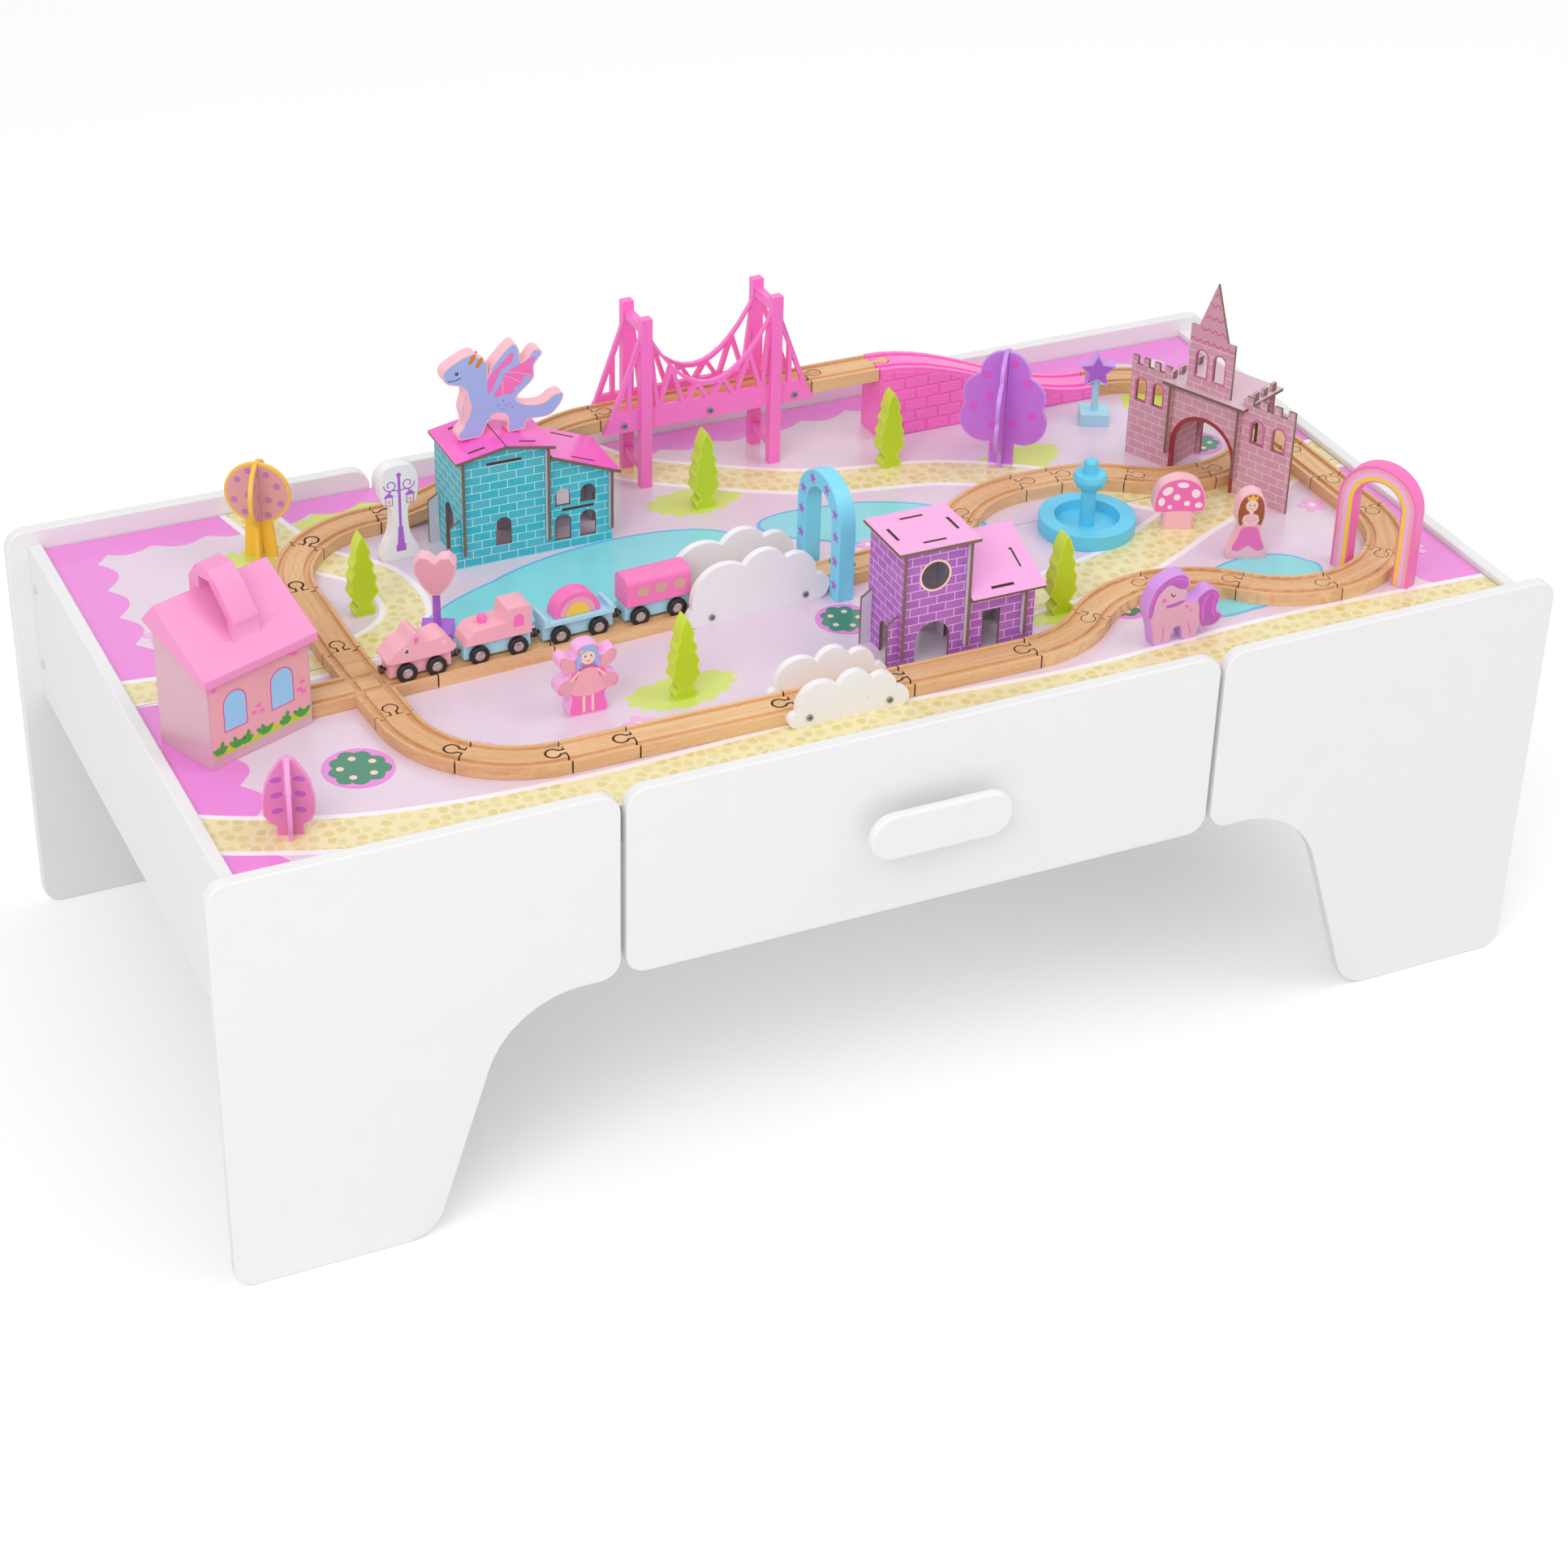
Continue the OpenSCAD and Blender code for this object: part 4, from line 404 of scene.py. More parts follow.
def rows(items, key, width=3, kind=float):
    """Some values of each of a mesh's items, one row per item."""
    values = np.empty(len(items) * width, kind)
    items.foreach_get(key, values)
    return values.reshape(-1, width)


def arrays(mesh):
    """A mesh's vertices, face centres, face normals, and the connected solid of each vertex and face.

    A solid is the set of vertices that edges join: the lowest label is passed along the edges until none
    changes.
    """
    points = rows(mesh.vertices, "co")
    edges = rows(mesh.edges, "vertices", 2, np.int64)
    labels = np.arange(len(points))
    while True:
        lower = np.minimum(labels[edges[:, 0]], labels[edges[:, 1]])
        passed = labels.copy()
        np.minimum.at(passed, edges[:, 0], lower)
        np.minimum.at(passed, edges[:, 1], lower)
        passed = passed[passed]
        if np.array_equal(passed, labels):
            break
        labels = passed
    solids = np.unique(labels, return_inverse=True)[1]
    first_corners = column(mesh.loops, "vertex_index")[column(mesh.polygons, "loop_start")]
    return points, rows(mesh.polygons, "center"), rows(mesh.polygons, "normal"), solids, solids[first_corners]


def dress(mesh, name, body, slot, materials, rule=None, replaced=(), edge=0.0):
    """A piece of a mesh: smooth over its rounded edges, with materials by face from rule, on its body.

    rule gets the face centres, normals, solids and marks, and returns the material of each face.
    """
    piece = bpy.data.objects.new(name, mesh)
    bpy.context.scene.collection.objects.link(piece)
    for material in materials:
        mesh.materials.append(material)
    mesh.polygons.foreach_set("use_smooth", np.ones(len(mesh.polygons), bool))
    mesh.set_sharp_from_angle(angle=CREASE)
    if rule is not None:
        _, centres, normals, _, solids = arrays(mesh)
        marks = column(mesh.polygons, "material_index", np.int32)
        mesh.polygons.foreach_set("material_index", rule(centres, normals, solids, marks).astype(np.int32))
    if edge:
        soft = piece.modifiers.new("Soft edges", "BEVEL")
        soft.width = edge
        soft.segments = 2
    weights = piece.modifiers.new("Flat faces stay flat", "WEIGHTED_NORMAL")
    weights.keep_sharp = True
    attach(piece, body)
    if replaced:
        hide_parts(*replaced)
    return piece


def rounded_mesh(node, radius, segments=2):
    """A copy of a CAD node's mesh with its doubles merged and each sharp outer edge rounded to a radius."""
    shape = bmesh.new()
    shape.from_mesh(frame["nodes"][node].data)
    bmesh.ops.remove_doubles(shape, verts=shape.verts[:], dist=WELD)
    bmesh.ops.dissolve_limit(shape, angle_limit=FLAT, verts=shape.verts[:], edges=shape.edges[:])
    if radius:
        sharp = [e for e in shape.edges if e.is_manifold and e.is_convex and e.calc_face_angle() > SHARP]
        bmesh.ops.bevel(shape, geom=sharp, offset=radius, offset_type="OFFSET", segments=segments,
                        profile=0.5, affect="EDGES", clamp_overlap=True)
    mesh = bpy.data.meshes.new(node)
    shape.to_mesh(mesh)
    shape.free()
    return mesh


def rounded_piece(node, radius, slot, materials, rule=None, segments=2, prepare=None):
    """A rounded copy that stands for a CAD node. prepare may add UV maps or attributes to its mesh first."""
    mesh = rounded_mesh(node, radius, segments)
    if prepare:
        prepare(mesh)
    body = frame["nodes"][node]["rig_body"]
    return dress(mesh, node + ".look", body, slot, materials, rule, (node,))


def wall_print(mesh):
    """UV map Print in metres: u runs level along each face, v runs up it."""
    points, _, normals, _, _ = arrays(mesh)
    level = np.cross(UP, normals)
    size = np.linalg.norm(level, axis=1, keepdims=True)
    level = np.where(size > 1e-3, level / np.maximum(size, 1e-9), [1.0, 0.0, 0.0])
    rise = np.cross(normals, level)
    face = np.repeat(np.arange(len(normals)), column(mesh.polygons, "loop_total"))
    spots = points[column(mesh.loops, "vertex_index")]
    uv = np.stack([(spots * level[face]).sum(1), (spots * rise[face]).sum(1)], 1)
    mesh.uv_layers.new(name="Print").data.foreach_set("uv", uv.astype(np.float32).ravel())


def wood_run(mesh):
    """Attributes grain and tone: each solid's own length, width and height, and a tone of its own.

    The length is the main axis of the solid's spread in plan, so the grain runs along each rail as it is
    sawn. A sine of the solid's place shifts its grain and tone, so that no two rails are alike.
    """
    points, _, _, solids, _ = arrays(mesh)
    grain = np.zeros_like(points)
    tone = np.zeros(len(points))
    for solid in range(solids.max() + 1):
        mine = solids == solid
        centre = points[mine].mean(0)
        spread = points[mine, :2] - centre[:2]
        main = np.linalg.eigh(spread.T @ spread)[1][:, 1]
        chance = math.sin(centre[0] * 917.0 + centre[1] * 613.0)
        grain[mine, 0] = spread @ main + chance
        grain[mine, 1] = spread @ np.array([-main[1], main[0]]) + 2 * chance
        grain[mine, 2] = points[mine, 2]
        tone[mine] = 0.10 * chance
    for name, kind, key, values in (("grain", "FLOAT_VECTOR", "vector", grain),
                                    ("tone", "FLOAT", "value", tone)):
        mesh.attributes.new(name, kind, "POINT").data.foreach_set(key, values.astype(np.float32).ravel())


def inset_prints(mesh, rim):
    """Insets the broad upright faces of each solid by a rim and marks what they enclose with 1.

    Those are the faces within a fifth of the solid's largest upright face.
    """
    shape = bmesh.new()
    shape.from_mesh(mesh)
    solids = arrays(mesh)[4]
    areas = np.array([f.calc_area() if abs(f.normal.z) < 0.05 else 0.0 for f in shape.faces])
    largest = np.zeros(solids.max() + 1)
    np.maximum.at(largest, solids, areas)
    shape.faces.ensure_lookup_table()
    for face in [shape.faces[k] for k in np.flatnonzero(areas > 0.8 * largest[solids])]:
        bmesh.ops.inset_individual(shape, faces=[face], thickness=rim, use_even_offset=True)
        face.material_index = 1
    shape.to_mesh(mesh)
    shape.free()


def two_faces(x, y, turn, depth, z=0.0):
    """Front and back of an upright board at a spot in mm: the origin, right, up and side of each face."""
    a = math.radians(turn)
    right = np.array([math.cos(a), math.sin(a), 0.0])
    out = np.cross(right, UP) * depth / 2 * MM
    base = np.array([x * MM, y * MM, BOARD_Z + z * MM])
    return [(base + out, right, UP, 1), (base - out, -right, UP, -1)]


def plate_mesh(name, shapes, faces, height):
    """Thin printed plates: a mesh and its materials.

    A shape is (outline in mm, material, layer), its outline one loop or the outer and inner loop of a ring.
    A face is (origin, right, up, side). A point (x, y) lies at origin + side x right + y up, and a plate
    reaches from SINK under the face to layer + 1 heights above it.
    """
    points, polygons, index, materials, base = [], [], [], [], 0
    for origin, right, up, side in faces:
        out = np.cross(right, up)
        for outline, material, layer in shapes:
            loops = [np.asarray(loop, float) * (side * MM, MM)
                     for loop in (outline if isinstance(outline, tuple) else (outline,))]
            x, y = loops[0].T
            if (x * np.roll(y, -1) - np.roll(x, -1) * y).sum() < 0:
                loops = [loop[::-1] for loop in loops]
            for loop in loops:
                flat = origin + loop[:, :1] * right + loop[:, 1:] * up
                points += [flat - SINK * out, flat + height * (layer + 1) * out]
            n = len(loops[0])
            low = base + np.arange(n)
            high = low + n
            low_next, high_next = np.roll(low, -1), np.roll(high, -1)
            made = np.stack([low, low_next, high_next, high], 1).tolist()
            if len(loops) == 1:
                made += [low[::-1].tolist(), high.tolist()]
            else:
                inner, inner_next = low + 2 * n, low_next + 2 * n
                made += np.stack([inner_next, inner, inner + n, inner_next + n], 1).tolist()
                made += np.stack([high, high_next, inner_next + n, inner + n], 1).tolist()
                made += np.stack([low_next, low, inner, inner_next], 1).tolist()
            polygons += made
            base += 2 * n * len(loops)
            if material not in materials:
                materials.append(material)
            index += [materials.index(material)] * len(made)
    mesh = bpy.data.meshes.new(name)
    mesh.from_pydata(np.concatenate(points).tolist(), [], polygons)
    mesh.polygons.foreach_set("material_index", np.array(index, np.int32))
    return mesh, materials


def plates(name, body, slot, shapes, faces, height, edge=0.0):
    """A piece of thin printed plates, with soft edges where edge is given."""
    mesh, materials = plate_mesh(name, shapes, faces, height)
    return dress(mesh, name, body, slot, materials, edge=edge)


def clipped(mesh, name, low, high):
    """A copy of a mesh that is cut off outside a box in plan, with its cuts closed."""
    shape = bmesh.new()
    shape.from_mesh(mesh)
    bmesh.ops.triangulate(shape, faces=shape.faces[:])
    for corner, normal in ((low, (-1, 0, 0)), (low, (0, -1, 0)), (high, (1, 0, 0)), (high, (0, 1, 0))):
        bmesh.ops.bisect_plane(shape, geom=shape.verts[:] + shape.edges[:] + shape.faces[:], dist=1e-7,
                               plane_co=corner, plane_no=normal, clear_outer=True)
        bmesh.ops.holes_fill(shape, edges=[e for e in shape.edges if e.is_boundary], sides=0)
    copy = bpy.data.meshes.new(name)
    shape.to_mesh(copy)
    shape.free()
    return copy


def shares(points, width, height):
    """Outline in mm from shares of a width and a height."""
    return np.asarray(points, float) * (width, height)


def placed(x, y, px, py, turn):
    """Points (px, py) turned by some degrees and moved to (x, y)."""
    a = math.radians(turn)
    return np.stack([x + px * math.cos(a) - py * math.sin(a), y + px * math.sin(a) + py * math.cos(a)], 1)


def oval(x, y, rx, ry=None, turn=0.0, count=28):
    """Outline of an ellipse about (x, y), turned by some degrees."""
    t = np.linspace(0, 2 * math.pi, count, endpoint=False)
    return placed(x, y, rx * np.cos(t), (ry or rx) * np.sin(t), turn)


def lobed(x, y, rx, ry, lobes, depth, turn=0.0, grow=0.0, count=12):
    """Leafy outline about (x, y), an ellipse grown by some mm.

    Its radius swells by depth |sin(lobes t / 2)|, once per lobe, and by a slow 0.06 sin(3 t + lobes).
    """
    t = np.linspace(0, 2 * math.pi, lobes * count, endpoint=False)
    swell = 1 + depth * np.abs(np.sin(lobes * t / 2)) + 0.06 * np.sin(3 * t + lobes)
    return placed(x, y, (rx * swell + grow) * np.cos(t), (ry * swell + grow) * np.sin(t), turn)


def arched(x, y, width, height):
    """Outline of a round-headed opening that stands on (x, y)."""
    t = np.linspace(0, math.pi, 14)
    r = width / 2
    head = np.stack([x + r * np.cos(t), y + height - r + r * np.sin(t)], 1)
    return np.vstack([[x + r, y], head, [x - r, y]])


def arched_ring(x, y, width, height, border):
    """Frame of some border round a round-headed opening."""
    return arched(x, y - border, width + 2 * border, height + 2 * border), arched(x, y, width, height)


def bow(x, y, outer, inner, foot):
    """Outline of a bow between two radii about (x, y), whose legs stand on a foot height."""
    t = np.linspace(0, math.pi, 40)
    loops = [np.vstack([[x + r, foot], np.stack([x + r * np.cos(t), y + r * np.sin(t)], 1), [x - r, foot]])
             for r in (outer, inner)]
    return np.vstack([loops[0], loops[1][::-1]])


def star(x, y, r):
    """Outline of a star of five points, whose waist is 0.45 of its radius."""
    k = np.arange(10)
    t = math.pi / 2 + k * math.pi / 5
    reach = np.where(k % 2 == 0, r, r * 0.45)
    return np.stack([x + reach * np.cos(t), y + reach * np.sin(t)], 1)


def box_outline(x0, y0, x1, y1, r=0.0):
    """Outline of a rectangle, with rounded corners where a radius is given."""
    if not r:
        return np.array([[x0, y0], [x1, y0], [x1, y1], [x0, y1]], float)
    t = np.linspace(0, math.pi / 2, 5)
    corners = [(x1 - r, y0 + r, -math.pi / 2), (x1 - r, y1 - r, 0),
               (x0 + r, y1 - r, math.pi / 2), (x0 + r, y0 + r, math.pi)]
    return np.vstack([np.stack([x + r * np.cos(t + a), y + r * np.sin(t + a)], 1) for x, y, a in corners])


def cubic(a, b, c, d, steps):
    """Points from each b towards c, with a before and d after them, by the Catmull-Rom cubic.

    It is half of 2 b + (c - a) t + (2 a - 5 b + 4 c - d) t^2 + (3 b - a - 3 c + d) t^3, with t from 0 to 1.
    """
    t = np.linspace(0, 1, steps, endpoint=False)[None, :, None]
    curve = 0.5 * (2 * b + (c - a) * t + (2 * a - 5 * b + 4 * c - d) * t**2 + (3 * b - a - 3 * c + d) * t**3)
    return curve.reshape(-1, b.shape[-1])


def smooth_loop(points, steps=8):
    """A closed curve through points: the cubic between each two."""
    p = np.asarray(points, float)
    return cubic(*(np.roll(p, k, 0)[:, None, :] for k in (1, 0, -1, -2)), steps)


def smooth_line(points, steps):
    """An open curve through points: the cubic between each two, with one more point past each end."""
    p = np.asarray(points, float)
    p = np.vstack([2 * p[0] - p[1], p, 2 * p[-1] - p[-2]])
    return np.vstack([cubic(*(p[k:len(p) - 3 + k, None, :] for k in range(4)), steps), p[-2]])


def band(points, width, steps=10):
    """Outline of a band of a width, one value or one per point, along a smooth line."""
    line = smooth_line(np.column_stack([points, np.broadcast_to(width, len(points))]), steps)
    step = np.gradient(line[:, :2], axis=0)
    side = np.stack([-step[:, 1], step[:, 0]], 1) / np.linalg.norm(step, axis=1, keepdims=True)
    half = line[:, 2:] / 2
    return np.vstack([line[:, :2] + side * half, (line[:, :2] - side * half)[::-1]])


def turned(name, body, slot, profile, index, centre, axis, materials, rings=40):
    """A turned piece: the profile of (radius, height) points carried round an axis from its centre.

    Each point lies at centre + radius (cos t first + sin t second) + height axis, where first and second are
    square to the axis. index is the material of each step of the profile.
    """
    first = np.cross(axis, [0.3, 0.5, 0.8])
    first /= np.linalg.norm(first)
    second = np.cross(axis, first)
    t = np.linspace(0, 2 * math.pi, rings, endpoint=False)
    circle = np.cos(t)[:, None] * first + np.sin(t)[:, None] * second
    points = centre + profile[None, :, :1] * circle[:, None, :] + profile[None, :, 1:] * axis
    n = len(profile)
    k, j = np.meshgrid(np.arange(rings), np.arange(n - 1), indexing="ij")
    nxt = (k + 1) % rings
    quads = np.stack([k * n + j, nxt * n + j, nxt * n + j + 1, k * n + j + 1], -1).reshape(-1, 4)
    mesh = bpy.data.meshes.new(name)
    mesh.from_pydata(points.reshape(-1, 3).tolist(), [], quads.tolist())
    mesh.polygons.foreach_set("material_index", np.tile(np.array(index, np.int32), rings))
    shape = bmesh.new()
    shape.from_mesh(mesh)
    bmesh.ops.remove_doubles(shape, verts=shape.verts[:], dist=WELD)
    bmesh.ops.recalc_face_normals(shape, faces=shape.faces[:])
    shape.to_mesh(mesh)
    shape.free()
    return dress(mesh, name, body, slot, materials)


# Operators

class PieceOperator:
    """What the operators of the pieces share."""

    bl_options = {"REGISTER", "UNDO"}

    def execute(self, context):
        """Builds the pieces with the scene's settings."""
        self.build(*settings())
        return {"FINISHED"}


class TRAINTABLE_OT_panels(PieceOperator, bpy.types.Operator):
    """White painted panels, aprons and rails of the table, with soft edges, and their bolt caps"""

    bl_idname = "traintable.panels"
    bl_label = "Table panels"

    def build(self, colours, sizes):
        white = paint("White satin paint", colours.white, 0.42, 0.03)
        for node in ("front_left_leg", "front_right_leg", "rear_left_leg", "rear_right_leg", "rear_panel",
                     "left_apron", "right_apron"):
            rounded_piece(node, sizes.panel_edge, "white_paint", [white], segments=3)
        for node in ("board_rails", "drawer_runners"):
            rounded_piece(node, sizes.toy_edge, "white_paint", [white])
        cap = paint("Bolt caps", colours.back, 0.35, 0.04)
        rounded_piece("joint_caps", sizes.thin_edge, "cap_plastic", [cap])


class TRAINTABLE_OT_drawer(PieceOperator, bpy.types.Operator):
    """Drawer with its front, oval handle, posts, sides, back and bottom"""

    bl_idname = "traintable.drawer"
    bl_label = "Drawer"

    def build(self, colours, sizes):
        white = paint("White satin paint", colours.white, 0.42, 0.03)
        for node, radius in (("drawer_front", sizes.panel_edge), ("drawer_handle", 2 * sizes.panel_edge),
                             ("handle_posts", sizes.thin_edge), ("drawer_sides", sizes.toy_edge),
                             ("drawer_back", sizes.toy_edge), ("drawer_bottom", sizes.thin_edge)):
            rounded_piece(node, radius, "white_paint", [white], segments=3)


class TRAINTABLE_OT_board(PieceOperator, bpy.types.Operator):
    """Play board with its print: border, grass, paths, ponds, flower beds and blossoms"""

    bl_idname = "traintable.board"
    bl_label = "Play board"

    # Plan of the print in mm. Grass: x, y, two radii, lobes and turn. Paths: width, layer and line.
    # Ponds: x, y, two radii and turn. Flower beds and blossoms: x, y and radius.
    GRASS = ((-455, 165, 74, 34, 17, 62), (-300, 262, 62, 20, 17, 0), (-10, 170, 44, 22, 13, 4),
             (204, -142, 44, 22, 13, -8), (300, 124, 50, 24, 13, 12), (-160, -140, 46, 22, 13, 6),
             (500, 190, 34, 30, 11, 0), (-470, -20, 30, 18, 11, 0))
    PATHS = ((44, 3, ((-640, -170), (-560, -212), (-450, -246), (-280, -258), (-60, -250), (160, -262),
                      (380, -252), (640, -262))),
             (34, 3, ((-410, 330), (-380, 210), (-330, 140), (-340, 60), (-440, 20), (-640, 40))),
             (50, 5, ((60, -70), (150, -110), (290, -92), (400, -40), (470, -10), (540, 20), (640, 30))),
             (40, 7, ((-90, 330), (-52, 262), (10, 214), (110, 160), (226, 132), (320, 74), (400, 0))))
    KERB = 6
    PONDS = ((-158, 68, 150, 46, 9), (126, 62, 96, 36, -24), (388, -168, 68, 34, 16))
    BEDS = ((-452, -150, 30), (20, -84, 26), (262, -158, 24), (486, 92, 24), (-168, 258, 22))
    BLOSSOMS = ((-520, -40, 16), (-350, -160, 13), (-60, -170, 12), (-214, -176, 15), (100, 30, 12),
                (330, -270, 12), (520, -60, 14), (-540, 120, 14), (170, 20, 12), (560, -170, 13))

    def build(self, colours, sizes):
        gloss = {"Specular_IOR_Level": 0.6, "bump": 0.000001}
        ground = paint("Board print", colours.board, 0.22, 0.05, **gloss)
        edge = paint("Board edge", colours.back, 0.5, 0.05)

        def top_is_printed(centres, normals, solids, marks):
            return np.where(normals[:, 2] > 0.9, 0, 1)

        shades = {name: paint("Print " + name, getattr(colours, name), 0.22, 0.08, **gloss)
                  for name in ("border", "petal", "grass", "water", "shore", "kerb", "hedge", "skin")}
        shades["path"] = finish("Print cobbles", "cobbles", {
            "Stone": tuple(colours.cobble), "Ground": tuple(colours.path), "Scale": 84.0}, **gloss)
        level = [(np.array([0, 0, BOARD_Z]), np.array([1.0, 0, 0]), np.array([0, 1.0, 0]), 1)]
        mesh, materials = plate_mesh("board_print", self.printed(shades), level, sizes.ink)
        for node in ("front_board", "rear_board"):
            rounded_piece(node, sizes.thin_edge, "printed_board", [ground, edge], top_is_printed)
            half = clipped(mesh, node + ".print", *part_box(node))
            dress(half, node + ".print", frame["nodes"][node]["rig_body"], "printed_board", materials)
        bpy.data.meshes.remove(mesh)

    def border(self, tint):
        """Scalloped strips along the left, rear and right edges of the board.

        A strip is broad (1 + 0.42 |sin(pi s / 50)| + 0.22 sin(s / 77 + side)) deep at s mm from its middle.
        """
        shapes = []
        low, high = BOARD_LOW / MM, BOARD_HIGH / MM
        middle = (low + high) / 2
        wide, deep = (high.x - low.x) / 2, (high.y - low.y) / 2
        for side, half, reach, broad, layer in (
                (0, wide, deep, 36, 1), (90, deep, wide, 25, 2), (180, wide, deep, 36, 1)):
            s = np.linspace(-reach, reach, 240)
            depth = broad + 0.42 * broad * np.abs(np.sin(math.pi * s / 50))
            depth += 0.22 * broad * np.sin(s / 77 + side)
            strip = np.vstack([[(half + 4, -reach), (half + 4, reach)], np.stack([half - depth, s], 1)[::-1]])
            a = math.radians(180 - side)
            turn = np.array([[math.cos(a), -math.sin(a)], [math.sin(a), math.cos(a)]])
            shapes.append((strip @ turn.T + middle[:2], tint, layer))
        return shapes

    def printed(self, shades):
        """Shapes of the print in mm of the table's plan."""
        shapes = self.border(shades["border"])
        for x, y, rx, ry, lobes, turn in self.GRASS:
            shapes.append((lobed(x, y, rx, ry, lobes, 0.16, turn), shades["grass"], 0))
        for width, layer, line in self.PATHS:
            shapes.append((band(line, width + 2 * self.KERB), shades["kerb"], layer))
            shapes.append((band(line, width), shades["path"], layer + 1))
        for x, y, rx, ry, turn in self.PONDS:
            for grow, name, layer in ((3.0, "shore", 9), (0.0, "water", 10)):
                shapes.append((lobed(x, y, rx, ry, 3, 0.14, turn, grow, 30), shades[name], layer))
        for x, y, r in self.BEDS:
            shapes.append((oval(x, y, r, count=48), shades["border"], 11))
            shapes.append((lobed(x, y, 0.74 * r, 0.74 * r, 9, 0.18), shades["hedge"], 12))
            for flower in range(5):
                a = flower * 2.5 + x
                shapes.append((oval(x + 0.5 * r * math.cos(a), y + 0.5 * r * math.sin(a), 0.11 * r, count=12),
                               shades["skin"], 13))
        for x, y, r in self.BLOSSOMS:
            for petal in range(5):
                a = math.radians(90 + 72 * petal)
                shape = oval(x + 0.55 * r * math.cos(a), y + 0.55 * r * math.sin(a), 0.42 * r, 0.30 * r,
                             90 + 72 * petal, 16)
                shapes.append((shape, shades["petal"], 11 + petal))
            shapes.append((oval(x, y, 0.24 * r, count=14), shades["kerb"], 16))
        return shapes


class TRAINTABLE_OT_railway(PieceOperator, bpy.types.Operator):
    """Beech rails with grooves, pegs and sockets, and painted shade on the lips of the gaps between them"""

    bl_idname = "traintable.railway"
    bl_label = "Railway"

    TRACKS = ("cross_track", "left_track", "front_track", "wave_track", "right_track", "inner_track",
              "bridge_track")
    # How near a lip is to the other rail, above which rise of its normal a face is level, and the share of
    # faces that are near to the tree of their own rail. The lips are painted dark as painted shade in the
    # gaps.
    REACH, LEVEL, OWN = 1.3 * MM, 0.95, 0.8

    def rails(self):
        """Box corners and search tree of each rail as it is in the frame."""
        found = []
        for node in self.TRACKS:
            mesh = rounded_mesh(node, 0)
            points, _, _, _, solids = arrays(mesh)
            polygons = [tuple(face.vertices) for face in mesh.polygons]
            for solid in range(solids.max() + 1):
                mine = [polygons[k] for k in np.flatnonzero(solids == solid)]
                spots = points[np.unique(np.concatenate(mine))]
                found.append((spots.min(0), spots.max(0), BVHTree.FromPolygons(points.tolist(), mine)))
            bpy.data.meshes.remove(mesh)
        return found

    def gap_rule(self):
        """Rule of the rails: 1 on the lips of the gap to another rail, which are painted dark as painted
        shade, 0 elsewhere.

        Lips are faces within REACH of the other rail that are not level. A rail's own tree is the one that
        nearly all its faces are near to.
        """
        rails = self.rails()

        def rule(centres, normals, solids, marks):
            index = np.zeros(len(centres), int)
            level = np.abs(normals[:, 2]) > self.LEVEL
            for solid in range(solids.max() + 1):
                mine = np.flatnonzero((solids == solid) & ~level)
                spots = centres[mine]
                for low, high, tree in rails:
                    inside = ((spots > low - self.REACH) & (spots < high + self.REACH)).all(1)
                    close = [k for k in mine[inside] if tree.find_nearest(Vector(centres[k]), self.REACH)[0]]
                    if len(close) < self.OWN * len(mine):
                        index[close] = 1
            return index
        return rule

    def build(self, colours, sizes):
        beech = finish("Beech", "grain", {
            "Light": tuple(colours.beech_light), "Dark": tuple(colours.beech_dark), "Tone": "tone"},
            source="grain", bump=0.00008)
        # Painted shade: the lips of the gaps between rails are painted dark, standing in for the shade in the
        # gaps.
        gap = paint("Rail gaps", colours.rail_gap, 0.7, 0.2)
        rule = self.gap_rule()
        for node in self.TRACKS:
            rounded_piece(node, sizes.rail_edge, "beech", [beech, gap], rule, prepare=wood_run)


